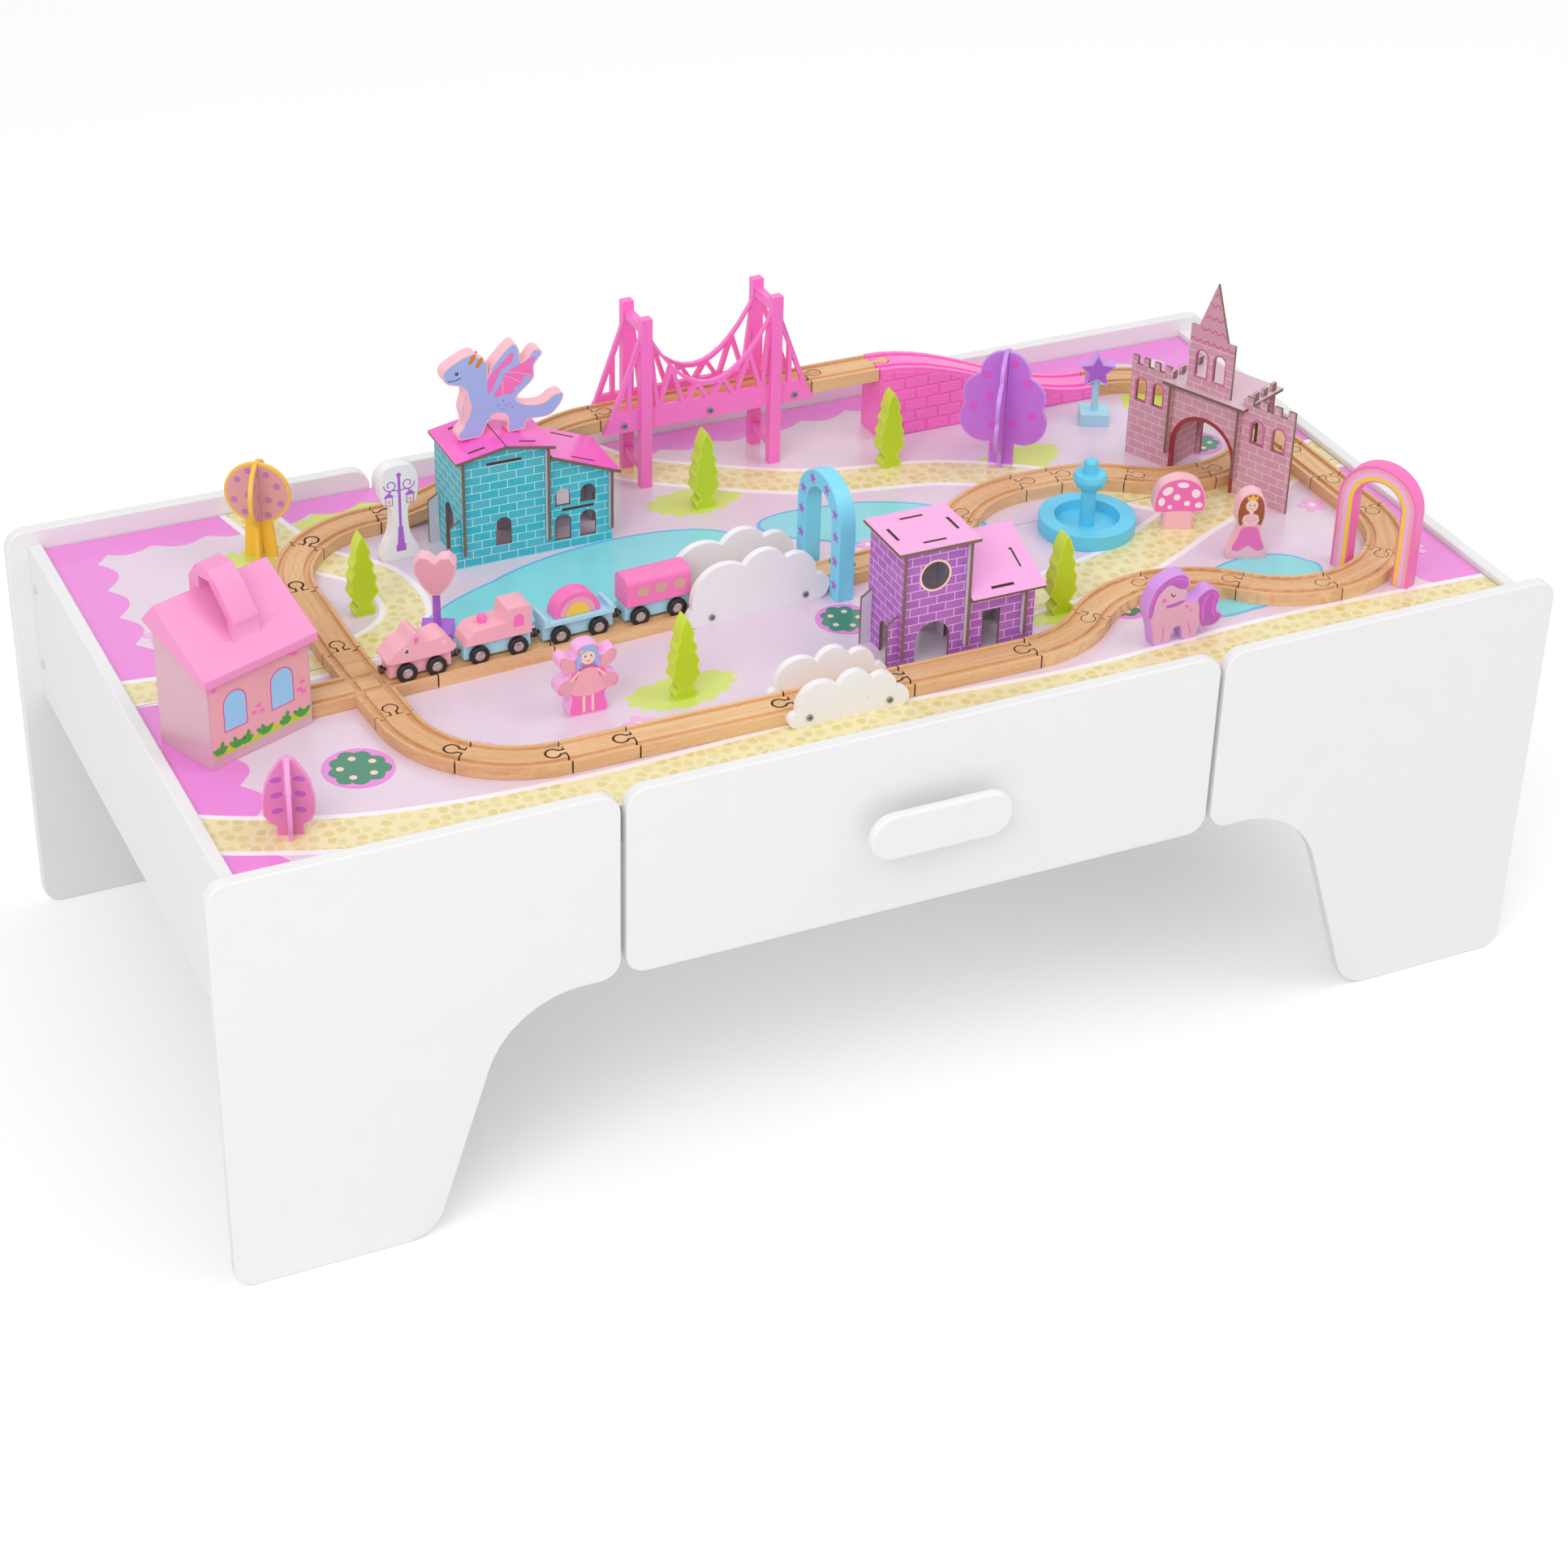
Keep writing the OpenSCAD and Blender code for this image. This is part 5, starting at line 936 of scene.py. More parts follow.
class TRAINTABLE_OT_bridge(PieceOperator, bpy.types.Operator):
    """Pink bridge, brick ramp with raised bricks, screws with cross slots of painted shade, and cloud tunnels
    """

    bl_idname = "traintable.bridge"
    bl_label = "Bridge, ramp and clouds"

    # The screws in mm: those of the bridge are the highest ones, about its middle line, and the others are in
    # the cloud tunnels, about the train's line and about the front tunnel's middle line
    BRIDGE_FROM, BRIDGE_LINE, FRONT_FROM, FRONT_LINE = 420, 236, -100, -208
    # The ramp's bricks in mm: row height, length, joint, and the rim under the ramp's upper edge
    ROW, LONG, JOINT, RIM = 12.0, 25.0, 1.9, 4.0

    def build(self, colours, sizes):
        plastic = paint("Bridge plastic", colours.bridge, 0.30, 0.08)
        rounded_piece("bridge_frame", sizes.plastic_edge, "pink_plastic", [plastic])
        rounded_piece("brick_ramp", sizes.plastic_edge, "pink_plastic", [plastic])
        self.bricks(plastic, sizes)
        steel = paint("Screw steel", colours.screw, 0.34, 0.2, Metallic=1.0)
        rounded_piece("toy_screws", sizes.thin_edge, "steel", [steel])
        # Painted shade: dark crosses stand in for the shade in the screws' recessed cross slots.
        self.crosses(ink(colours, "line"), sizes)
        cloud = paint("Cloud paint", colours.cloud, 0.45, 0.03)
        rounded_piece("cloud_tunnels", sizes.toy_edge, "white_paint", [cloud])

    def bricks(self, plastic, sizes):
        """Raised bricks on both sides of the ramp, in running bond, cut off below its falling upper edge.

        The upper edge is the highest point of the node's side face at each place along it.
        """
        points = arrays(frame["nodes"]["brick_ramp"].data)[0] / MM
        low, high = points.min(0), points.max(0)
        side = points[np.abs(points[:, 1] - low[1]) < 0.05]
        xs = np.unique(side[:, 0].round(2))
        tops = np.array([side[np.abs(side[:, 0] - x) < 0.02, 2].max() for x in xs]) - BOARD_Z / MM
        xs, tops = xs[tops > 5], tops[tops > 5]
        shapes = []
        for course in range(6):
            bottom = course * self.ROW + self.JOINT
            for k in range(-1, 11):
                left = xs[0] + (k + 0.5 * (course % 2)) * self.LONG + self.JOINT
                right = left + self.LONG - self.JOINT
                x = np.clip(np.linspace(left, right, 7), xs[0] + self.JOINT, xs[-1] - self.JOINT)
                upper = np.minimum(bottom + self.ROW - self.JOINT, np.interp(x, xs, tops) - self.RIM)
                keep = upper > bottom + 1.5
                if x[-1] - x[0] > 3 and keep.sum() > 1:
                    shapes.append((np.vstack([[x[keep][0], bottom], [x[keep][-1], bottom],
                                              np.stack([x[keep], upper[keep]], 1)[::-1]]), plastic, 0))
        faces = two_faces(0, (low[1] + high[1]) / 2, 0, high[1] - low[1])
        plates("ramp_bricks", "table", "pink_plastic", shapes, faces, sizes.emboss, 0.4 * sizes.emboss)

    def crosses(self, dark, sizes):
        """Cross slots on the outer ends of the screws, painted dark as the shade in their recess."""
        points, _, _, solids, _ = arrays(rounded_mesh("toy_screws", 0))
        faces = []
        for solid in range(solids.max() + 1):
            spots = points[solids == solid] / MM
            centre = (spots.min(0) + spots.max(0)) / 2
            if centre[2] > self.BRIDGE_FROM:
                turn, side = 0.0, centre[1] - self.BRIDGE_LINE
            elif centre[1] > self.FRONT_FROM:
                turn, side = LEAN, (centre[:2] - CROSS) @ ACROSS[:2]
            else:
                turn, side = 0.0, centre[1] - self.FRONT_LINE
            pair = two_faces(centre[0], centre[1], turn, 1.5, centre[2] - BOARD_Z / MM)
            faces.append(pair[0] if side < 0 else pair[1])
        arm = np.array([[0.35, 0.35], [0.35, 2.0], [-0.35, 2.0]])
        outline = np.vstack([arm, arm[:, ::-1] * (-1, 1), -arm, arm[:, ::-1] * (1, -1)])
        outline = outline[np.argsort(np.arctan2(outline[:, 1], outline[:, 0]))]
        plates("screw_slots", "table", "steel", [(outline, dark, 0)], faces, sizes.decal)


class TRAINTABLE_OT_train(PieceOperator, bpy.types.Operator):
    """Four wooden cars with wheels, caps, couplers and painted details"""

    bl_idname = "traintable.train"
    bl_label = "Train"

    # In mm: each car's middle past the crossing, the deck over the board, the cars' width, the engine's knob
    # before its middle, the outer sides of the wheels, and the wheel caps' profile with each step's material
    CARS = {"loco": 45, "engine": 116, "wagon": 192, "coach": 270}
    DECK, WIDTH, KNOB, HUB = 29.0, 25, 62 / 6, 13.6
    CAP = ((0, 0.9), (2.4, 0.8), (3.9, 0.5), (4.6, 0.1), (4.8, -0.1), (6.2, -0.1), (6.5, 0.35), (7.6, 0.45),
           (8.1, 0.2), (8.3, -0.2))
    CAP_INDEX = (0, 0, 0, 0, 1, 1, 1, 1, 1)

    def build(self, colours, sizes):
        pink, blue, hot, coach = (ink(colours, name) for name in ("pink", "blue", "hot", "coach"))
        black = paint("Wheel plastic", colours.black, 0.35, 0.2)
        magnet = paint("Magnet metal", colours.magnet, 0.25, 0.2, Metallic=1.0)

        def knob_is_hot(centres, normals, solids, marks):
            away = centres[:, :2] / MM - self.spot("engine") + self.KNOB * ALONG[:2]
            high = centres[:, 2] > BOARD_Z + (self.DECK + 16.3) * MM
            return np.where((np.linalg.norm(away, axis=1) < 4.3) & high, 1, 0)

        for node, materials, slot, rule in (
                ("loco_body", [pink], "pink_paint", None),
                ("engine_body", [pink, hot], "pink_paint", knob_is_hot),
                ("coach_cabin", [coach], "pink_paint", None),
                ("engine_chassis", [blue], "blue_paint", None),
                ("wagon_chassis", [blue], "blue_paint", None),
                ("coach_chassis", [blue], "blue_paint", None),
                ("wagon_rainbow", [hot], "rainbow_paint", None)):
            rounded_piece(node, sizes.toy_edge, slot, materials, rule)
        cap = paint("Cap steel", colours.steel, 0.22, 0.15, Metallic=1.0)
        profile = np.array(self.CAP) * MM
        for car in self.CARS:
            rounded_piece(car + "_couplers", sizes.thin_edge, "magnet", [magnet])
            for end in ("front", "rear"):
                node = f"{car}_{end}_wheels"
                rounded_piece(node, 2 * sizes.thin_edge, "wheel_plastic", [black])
                low, high = (np.array(corner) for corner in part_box(node))
                for side, face in ((-1, "near"), (1, "far")):
                    turned(f"{car}_{end}_{face}_cap", f"{car}_{end}_axle", "steel", profile, self.CAP_INDEX,
                           (low + high) / 2 + side * ACROSS * self.HUB * MM, side * ACROSS, [cap, black])
        self.prints(colours, sizes)

    def spot(self, car):
        """A car's middle in plan, in mm."""
        return CROSS + self.CARS[car] * ALONG[:2]

    def prints(self, colours, sizes):
        """Eyes, windows and rainbow bands on both sides of the cars."""
        line, cloud, hot, dusty, yellow, gold, blush = (
            ink(colours, name) for name in ("line", "cloud", "hot", "dusty", "yellow", "gold", "blush"))
        loco = [(oval(-13.6, 10.6, 2.5), cloud, 0), (oval(-13.6, 10.6, 1.9), line, 1),
                (oval(-14.2, 11.3, 0.6), cloud, 2),
                (smooth_loop([(-5.6, 15.5), (-6.8, 20.5), (-4.0, 22.5), (-2.2, 18.5)]), hot, 0),
                (oval(20.5, 11.0, 2.6), blush, 0)]
        engine = [(arched(18.6, 9.0, 9.6, 12.0), hot, 0)]
        coach = [(box_outline(x - 5.6, 9.0, x + 5.6, 18.0, 3.6), gold, 0) for x in (-17, 0.5, 18)]
        for car, shapes in (("loco", loco), ("engine", engine), ("coach", coach)):
            faces = two_faces(*self.spot(car), LEAN, self.WIDTH, self.DECK)
            plates(car + "_print", car, "pink_paint", shapes, faces, sizes.decal)
        half = np.linspace(0, math.pi, 40)
        discs = [(np.stack([r * np.cos(half), r * np.sin(half) + 0.5], 1), material, layer)
                 for layer, (r, material) in enumerate(((16.5, dusty), (11.0, yellow)))]
        faces = two_faces(*self.spot("wagon"), LEAN, self.WIDTH * 2 / 3, self.DECK + 4)
        plates("wagon_print", "wagon", "rainbow_paint", discs, faces, sizes.decal)


def broad_sides(turn, middle):
    """Rule of a slot-together house: 0 on outer sides, 1 on inner sides and 2 on cut edges.

    A wall's broad sides lie along its longer extent in the house's own plan, and its outer side points away
    from middle.
    """
    a = math.radians(turn)
    axes = np.array([[math.cos(a), math.sin(a), 0.0], [-math.sin(a), math.cos(a), 0.0]])

    def rule(centres, normals, solids, marks):
        plan = centres @ axes.T
        facing = normals @ axes.T
        index = np.full(len(normals), 2)
        for solid in range(solids.max() + 1):
            mine = solids == solid
            extent = np.ptp(plan[mine], axis=0)
            thin = 1 if extent[0] > extent[1] else 0
            outward = plan[mine, thin].mean() - np.asarray(middle) @ axes.T[:, thin][:2]
            broad = mine & (np.abs(facing[:, thin]) > 0.9)
            index[broad] = np.where(facing[broad, thin] * outward > 0, 0, 1)
        return index
    return rule


class TRAINTABLE_OT_houses(PieceOperator, bpy.types.Operator):
    """Slot-together houses and castle with printed bricks, frames and scorched edges"""

    bl_idname = "traintable.houses"
    bl_label = "Houses and castle"

    # The castle in mm: a corner of its front wall, the wall's turn and direction, the middle, reach and top
    # of its archway, the height of the spire's foot, and how thick the boards are
    ORIGIN = np.array([428.56, 61.95])
    TURN = -66
    RIGHT = np.array([math.cos(math.radians(TURN)), math.sin(math.radians(TURN))])
    ARCH, ARCH_REACH, ARCH_TOP, SPIRE, THICK = 43, 33.6, 62.8, 93, 3
    # Left end and the front and rear line of each house's long walls
    LONG_WALLS = {"teal": (-257.5, 130.92, 187.92), "purple": (23.75, -177.46, -126.46)}

    def red_gate(self, rule):
        """A rule that also paints the cut edges of the castle's archway."""
        def with_gate(centres, normals, solids, marks):
            index = rule(centres, normals, solids, marks)
            along = (centres[:, :2] / MM - self.ORIGIN) @ self.RIGHT
            low = centres[:, 2] < BOARD_Z + self.ARCH_TOP * MM
            gate = (np.abs(along - self.ARCH) < self.ARCH_REACH) & low
            index[gate & (index == 2)] = 3
            return index
        return with_gate

    def build(self, colours, sizes):
        edge = paint("Scorched edge", colours.cut_edge, 0.7, 0.35)
        back = paint("Board back", colours.back, 0.55, 0.06)
        size = {"Width": sizes.brick_w * 100, "Height": sizes.brick_h * 100, "Joint": sizes.joint_w * 100}
        bricks = {}
        for node, slot, name, turn, middle in (
                ("teal_house_walls", "teal_print", "teal", 0, (-0.2155, 0.1594)),
                ("purple_house_walls", "purple_print", "purple", 0, (0.0568, -0.1520)),
                ("castle_walls", "mauve_print", "mauve", self.TURN, (0.4689, 0.0329))):
            bricks[name] = finish(name.capitalize() + " bricks", "bricks", {
                "Brick": tuple(getattr(colours, name)),
                "Mortar": tuple(getattr(colours, name + "_joint")), **size}, source="Print", bump=0.00002)
            rule = broad_sides(turn, middle)
            inner = bricks[name] if name == "mauve" else back
            rounded_piece(node, 0, slot, [bricks[name], inner, edge, ink(colours, "trim")],
                          self.red_gate(rule) if name == "mauve" else rule, prepare=wall_print)

        def flat_sides(centres, normals, solids, marks):
            along = np.abs(normals @ np.cross([*self.RIGHT, 0], UP)) > 0.9
            tall = along & (centres[:, 2] > BOARD_Z + self.SPIRE * MM)
            return np.select([normals[:, 2] > 0.75, normals[:, 2] < -0.75, tall], [0, 1, 3], 2)

        for node, slot, name in (("teal_house_roof", "pink_print", "teal"),
                                 ("purple_house_roof", "pink_print", "purple"),
                                 ("castle_roof", "mauve_print", "mauve")):
            roof = paint(name.capitalize() + " roof", getattr(colours, name + "_roof"), 0.22, 0.05)
            wall = bricks[name] if name == "mauve" else edge
            rounded_piece(node, 0, slot, [roof, back, edge, wall], flat_sides, prepare=wall_print)
        self.prints(colours, sizes)

    def outer_faces(self, name):
        """Outer faces of a house's two long walls."""
        x, front, rear = self.LONG_WALLS[name]
        return [two_faces(x, front, 0, self.THICK)[0], two_faces(x, rear, 0, self.THICK)[1]]

    def prints(self, colours, sizes):
        """Gate trim, window frames and wavy tiles of the castle, and the small prints of the houses.

        Those are the ring of the purple house's window and the floor slots of the teal house's long walls,
        each a scorched rim round a dark middle of painted shade.
        """
        frames, trim, mauve, ring, burnt, dark = (
            ink(colours, name) for name in ("frames", "trim", "mauve", "skin", "cut_edge", "line"))
        inward = np.array([-self.RIGHT[1], self.RIGHT[0]])
        wall_middle = self.ORIGIN + self.THICK / 2 * inward
        wall = [(arched_ring(x, 59.5, w, 23.0, 1.6), frames, 0)
                for x, w in ((-31.7, 10.6), (-12.3, 10.6), (101.1, 13.0), (124.9, 13.0))]
        wall.append((bow(self.ARCH, 29, 37.0, 33.0, 0.3), trim, 0))
        faces = two_faces(*wall_middle, self.TURN, self.THICK)
        plates("castle_print", "table", "mauve_print", wall, faces, sizes.decal)
        spire = [(np.array([(-24.6, 46), (24.6, 46), (24.6, 54.6), (16.5, 54.6), (0, 109), (-16.5, 62.6),
                            (-24.6, 62.6)]), mauve, 0)]
        for height, reach in ((49, 24), (62, 14.6), (75, 10.4), (88, 6.0), (99, 2.6)):
            x = np.linspace(-reach, reach, max(9, int(reach * 2)))
            spire.append((band(np.stack([x, height + 1.5 * np.sin(x * 0.8)], 1), 1.3, 3), frames, 1))
        spire += [(arched_ring(x, 13.2, 12.0, 26.4, 1.5), frames, 0) for x in (-10, 10)]
        faces = two_faces(*(wall_middle + self.ARCH * self.RIGHT), self.TURN, self.THICK, self.SPIRE)
        plates("spire_print", "table", "mauve_print", spire, faces, sizes.decal)
        circles = [(tuple(oval(33, 85.5, r, count=48) for r in (15.2, 13.2)), ring, 0)]
        plates("window_ring", "table", "purple_print", circles, self.outer_faces("purple"), sizes.decal)
        # Painted shade: each floor slot is a scorched rim round a dark plate that stands in for the shade in
        # the slot's hole.
        slots = []
        for x0, x1, height in ((25, 59, 100), (96, 128, 40.2)):
            slots += [(box_outline(x0, height - 1.5, x1, height + 1.5, 1.0), burnt, 0),
                      (box_outline(x0 + 0.8, height - 0.8, x1 - 0.8, height + 0.8, 0.6), dark, 1)]
        plates("floor_slots", "table", "teal_print", slots, self.outer_faces("teal"), sizes.decal)


class TRAINTABLE_OT_station(PieceOperator, bpy.types.Operator):
    """Clear pink station case with its printed front, and its lid"""

    bl_idname = "traintable.station"
    bl_label = "Station"

    # Left end of the printed front in mm, and its turn
    FRONT, TURN = (-561.9, -108.5), 22

    def build(self, colours, sizes):
        case = paint("Clear pink case", colours.case, 0.18, 0.05, Transmission_Weight=0.35, IOR=1.46)
        rounded_piece("station_case", sizes.plastic_edge, "clear_pink", [case])
        lid = paint("Station lid", colours.lid, 0.30, 0.05)
        rounded_piece("station_roof", sizes.toy_edge, "pink_lid", [lid])
        panel, window, rim, leaves, sprouts, brick = (
            ink(colours, name) for name in ("panel", "window", "frames", "leaves", "sprouts", "hot"))
        shapes = [(box_outline(2, 9, 104, 80, 1.5), panel, 0)]
        for x in (27, 76):
            shapes += [(arched(x, 31, 22, 34), window, 1), (arched_ring(x, 31, 22, 34, 1.2), rim, 1)]
        for x, y in ((46, 36), (51, 41), (54, 35), (97, 44), (94, 38), (98, 35), (7, 73), (86, 76), (91, 73)):
            shapes.append((box_outline(x - 2.8, y - 1.7, x + 2.8, y + 1.7, 1.4), brick, 1))
        base = 10.5
        for k, x in enumerate(np.linspace(5, 101, 33)):
            height = 6.5 + 2.5 * math.sin(k * 1.7)
            blade = np.array([(x - 2.1, base), (x + 2.1, base), (x + 1.9, base + 0.55 * height),
                              (x + 0.9 * math.sin(k * 2.3), base + height), (x - 1.9, base + 0.55 * height)])
            shapes.append((smooth_loop(blade, 4), sprouts, 2 + k % 3))
        for k, x in enumerate((9, 27, 36, 56, 77, 95)):
            for j, lean in enumerate((-48, -16, 14, 44)):
                a = math.radians(lean)
                reach = 5.4 + 1.4 * math.sin(3 * k + 2 * j)
                leaf = oval(x - reach * math.sin(a), base + 0.8 + reach * math.cos(a), 1.9, reach - 0.9,
                            lean, 20)
                shapes.append((leaf, leaves, 5 + j % 2))
        faces = two_faces(*self.FRONT, self.TURN, 0)[:1]
        plates("station_print", "table", "clear_pink", shapes, faces, sizes.decal)


class TRAINTABLE_OT_toys(PieceOperator, bpy.types.Operator):
    """Arches, fountain, trees, signs and figures with their prints"""

    bl_idname = "traintable.toys"
    bl_label = "Wooden toys"

    # Spots of the signs, figures and trees: x and y in mm, and turn in degrees
    SPOTS = {"lamp": (-301.25, 173.9, 0), "dragon": (-206.54, 159.4, 0), "pony": (277.5, -223.5, 0),
             "princess": (410.0, -119.0, -20), "fairy": (-247.5, -136.9, 0), "mushroom": (380.0, -46.1, -20),
             "heart": (-320.0, 23.1, -25), "star": (416.25, 173.9, -25)}
    TREES = {"round": (-415.0, 222.1, -30), "leaf": (-532.5, -221.0, -16), "puff": (288.75, 128.2, -38),
             "fir": (-365.0, 89.9, 0), "fir_2": (-8.75, 157.8, 0), "fir_3": (187.5, 165.9, 0),
             "fir_4": (-162.5, -146.8, 0), "fir_5": (202.5, -143.1, 0)}
    # The two arches: spot and turn of each, and height of the round part's centre
    RAINBOW, BLUE, SPRING = (499, -193.4, -60), (32.83, -16.01, 93.3885), 72
    # In mm: height of the stands of the heart and star, the dragon's perch, and how thick the boards are
    STAND, PERCH, THICK, TREE_THICK, ARCH_THICK = 46.2, 115.5, 14, 4, 16
    # Printed face and sides of each tree and figure
    BARK = {"round": ("amber", "amber"), "leaf": ("leaf", "leaf_edge"), "puff": ("puff", "puff_edge")}
    FIR = ("fir", "fir_edge")
    SKINS = {"lamp": ("cloud", "cloud"), "dragon": ("dragon", "blush"), "pony": ("pony", "orchid"),
             "princess": ("pink", "blush"), "fairy": ("hot", "petal"), "mushroom": ("hot", "blush"),
             "heart": ("dusty", "blush"), "star": ("lilac", "puff_edge")}
    STANDS = {"heart": "lilac", "star": "blue"}

    @staticmethod
    def nearest(centres, solids, spots):
        """Number of the spot that each face's solid is nearest to in plan."""
        spots = np.array(list(spots))[:, :2] * MM
        middles = np.array([centres[solids == k, :2].mean(0) for k in range(solids.max() + 1)])
        return np.linalg.norm(middles[:, None] - spots[None], axis=2).argmin(1)[solids]

    def build(self, colours, sizes):
        def shade(name):
            return ink(colours, name)

        def prepare(mesh):
            inset_prints(mesh, sizes.rim)

        def arch_rule(centres, normals, solids, marks):
            return self.nearest(centres, solids, (self.BLUE, self.RAINBOW))

        rounded_piece("arches", sizes.toy_edge, "rainbow_paint", [shade("arch"), shade("hot")], arch_rule)
        rounded_piece("fountain", sizes.toy_edge, "blue_paint", [shade("sky")])
        barks = [shade(name) for tree in self.TREES for name in self.BARK.get(tree, self.FIR)]

        def tree_rule(centres, normals, solids, marks):
            return 2 * self.nearest(centres, solids, self.TREES.values()) + (marks != 1)

        rounded_piece("trees", sizes.thin_edge, "tree_paint", barks, tree_rule, prepare=prepare)
        keys = list(self.SPOTS)
        names = [name for key in keys for name in self.SKINS[key]] + list(self.STANDS.values())
        names = list(dict.fromkeys(names))
        table = np.array([[names.index(name) for name in self.SKINS[key]] for key in keys])

        def figure_rule(centres, normals, solids, marks):
            kind = self.nearest(centres, solids, self.SPOTS.values())
            index = table[kind, np.where(marks == 1, 0, 1)]
            stand = centres[:, 2] < BOARD_Z + self.STAND * MM
            for key, name in self.STANDS.items():
                index[stand & (kind == keys.index(key))] = names.index(name)
            return index

        skins = [shade(name) for name in names]
        rounded_piece("signs_and_figures", sizes.toy_edge, "figure_paint", skins, figure_rule,
                      prepare=prepare)
        self.tree_prints(shade, sizes)
        self.arch_prints(shade, sizes)
        for name, draw, z in (("lamp", self.lamp, 0), ("dragon", self.dragon, self.PERCH),
                              ("pony", self.pony, 0), ("princess", self.princess, 0),
                              ("fairy", self.fairy, 0), ("mushroom", self.mushroom, 0)):
            faces = two_faces(*self.SPOTS[name], self.THICK, z)
            plates(name + "_print", "table", "figure_paint", draw(shade), faces, sizes.decal)

    def tree_prints(self, shade, sizes):
        """Discs, dots and leaf marks on the crossed boards of the trees."""
        disc = [(oval(0, 64, 27.6, count=64), shade("dusk"), 0)]
        disc += [(oval(x, y, 3.1, count=20), shade("mallow"), 1)
                 for x, y in ((-17, 77), (-8, 62), (-21, 57), (-12, 45), (9, 83), (18, 72), (10, 58),
                              (21, 55), (9, 43), (-7, 86))]
        marks = [(oval(side * 9.2, 73 * y, 4.7, 2.5, side * -16), shade("plum"), 0)
                 for side in (-1, 1) for y in (0.33, 0.53, 0.72)]
        dots = [(oval(x, y, 4.4, count=24), shade("magenta"), 0)
                for x, y in ((-18, 92), (22, 88), (-29, 58), (27, 54), (10, 44), (-9, 40), (8, 106),
                             (-7, 18), (-14, 70))]
        for name, shapes in (("round", disc), ("leaf", marks), ("puff", dots)):
            x, y, turn = self.TREES[name]
            faces = two_faces(x, y, turn, self.TREE_THICK) + two_faces(x, y, turn + 90, self.TREE_THICK)
            plates(name + "_tree_print", "table", "tree_paint", shapes, faces, sizes.decal)

    def arch_prints(self, shade, sizes):
        """Rainbow bands on one arch and stars on the other."""
        bows = [(bow(0, self.SPRING, *radii, 0.4), shade(name), layer) for radii, name, layer in (
            ((36.0, 32.4), "dusty", 0), ((32.4, 28.4), "petal", 1), ((28.4, 24.6), "yellow", 0))]
        faces = two_faces(*self.RAINBOW, self.ARCH_THICK)
        plates("rainbow_print", "table", "rainbow_paint", bows, faces, sizes.decal)
        middle, size = 31, 6.2
        spots = [(middle * math.cos(a), self.SPRING + middle * math.sin(a))
                 for a in np.radians((22, 66, 114, 158))]
        spots += [(side * middle, y) for side in (-1, 1) for y in (14, 38, 62)]
        stars = [(star(x, y, size), shade("lilac"), 0) for x, y in spots]
        faces = two_faces(*self.BLUE, self.ARCH_THICK)
        plates("arch_stars", "table", "rainbow_paint", stars, faces, sizes.decal)

    def lamp(self, shade):
        """Street lamp with two lanterns on scrolls, whose radius falls from 6.2 to 2 mm over 1.2 turns."""
        purple, flame, white = shade("lilac"), shade("amber"), shade("cloud")
        shapes = [(box_outline(-4.6, 9, 4.6, 16, 0.8), purple, 0),
                  (np.array([(-3.4, 15), (3.4, 15), (2.2, 34), (-2.2, 34)]), purple, 1),
                  (box_outline(-1.3, 33, 1.3, 84), purple, 0), (oval(0, 85.5, 2.2), purple, 1)]
        t = np.linspace(0, 1, 26)
        a = math.pi * (0.5 - 2.4 * t) - math.pi / 2 * 0.9
        r = 6.2 - 4.2 * t
        for side in (-1, 1):
            scroll = np.stack([side * (8.2 + r * np.cos(a)), 76 + r * np.sin(a)], 1)
            shapes += [(band(scroll, 1.1, 2), purple, 0),
                       (band([(side * 1, 70), (side * 6, 71), (side * 10, 69)], 1.1), purple, 1),
                       (np.array([(side * 10 - 5, 65), (side * 10 + 5, 65), (side * 10, 69.5)]), purple, 2),
                       (box_outline(side * 10 - 3.6, 56, side * 10 + 3.6, 65.2), purple, 0),
                       (box_outline(side * 10 - 2.7, 57, side * 10 + 2.7, 64.2), white, 1),
                       (oval(side * 10, 60, 1.5, 2.1), flame, 2)]
        return shapes

    def dragon(self, shade):
        """Wings, belly, horns, eye, mouth and spots of the dragon."""
        w, h = 112, 86
        wing, pale, horn, line, violet = (shade(name) for name in ("hot", "blush", "horn", "line", "lilac"))
        near = [(-0.075, 0.435), (0.00, 0.60), (0.03, 0.685), (0.14, 0.745), (0.275, 0.81), (0.252, 0.72),
                (0.25, 0.60), (0.185, 0.61), (0.16, 0.53), (0.10, 0.50), (0.09, 0.445), (0.0, 0.44)]
        far = [(-0.13, 0.50), (-0.108, 0.67), (-0.032, 0.765), (0.085, 0.90), (0.08, 0.79), (-0.006, 0.73),
               (-0.04, 0.65), (-0.10, 0.50)]
        throat = [(-0.318, 0.57), (-0.305, 0.48), (-0.332, 0.36), (-0.318, 0.20), (-0.285, 0.26),
                  (-0.262, 0.37), (-0.28, 0.46), (-0.295, 0.56)]
        belly = [(-0.11, 0.20), (0.02, 0.15), (0.05, 0.12), (0.03, 0.21), (-0.06, 0.25)]
        shapes = [(smooth_loop(shares(points, w, h), 6), tint, 0)
                  for points, tint in ((near, wing), (far, wing), (throat, pale), (belly, pale))]
        mouth = [(-0.455, 0.695), (-0.40, 0.69), (-0.345, 0.712)]
        shapes += [(oval(-0.25 * w, 0.895 * h, 5.6, 2.2, 58), horn, 0),
                   (oval(-0.19 * w, 0.845 * h, 5.6, 2.2, 58), horn, 0),
                   (oval(-0.38 * w, 0.765 * h, 1.7), line, 0), (oval(-0.384 * w, 0.771 * h, 0.5), pale, 1),
                   (band(shares(mouth, w, h), 0.7), line, 0)]
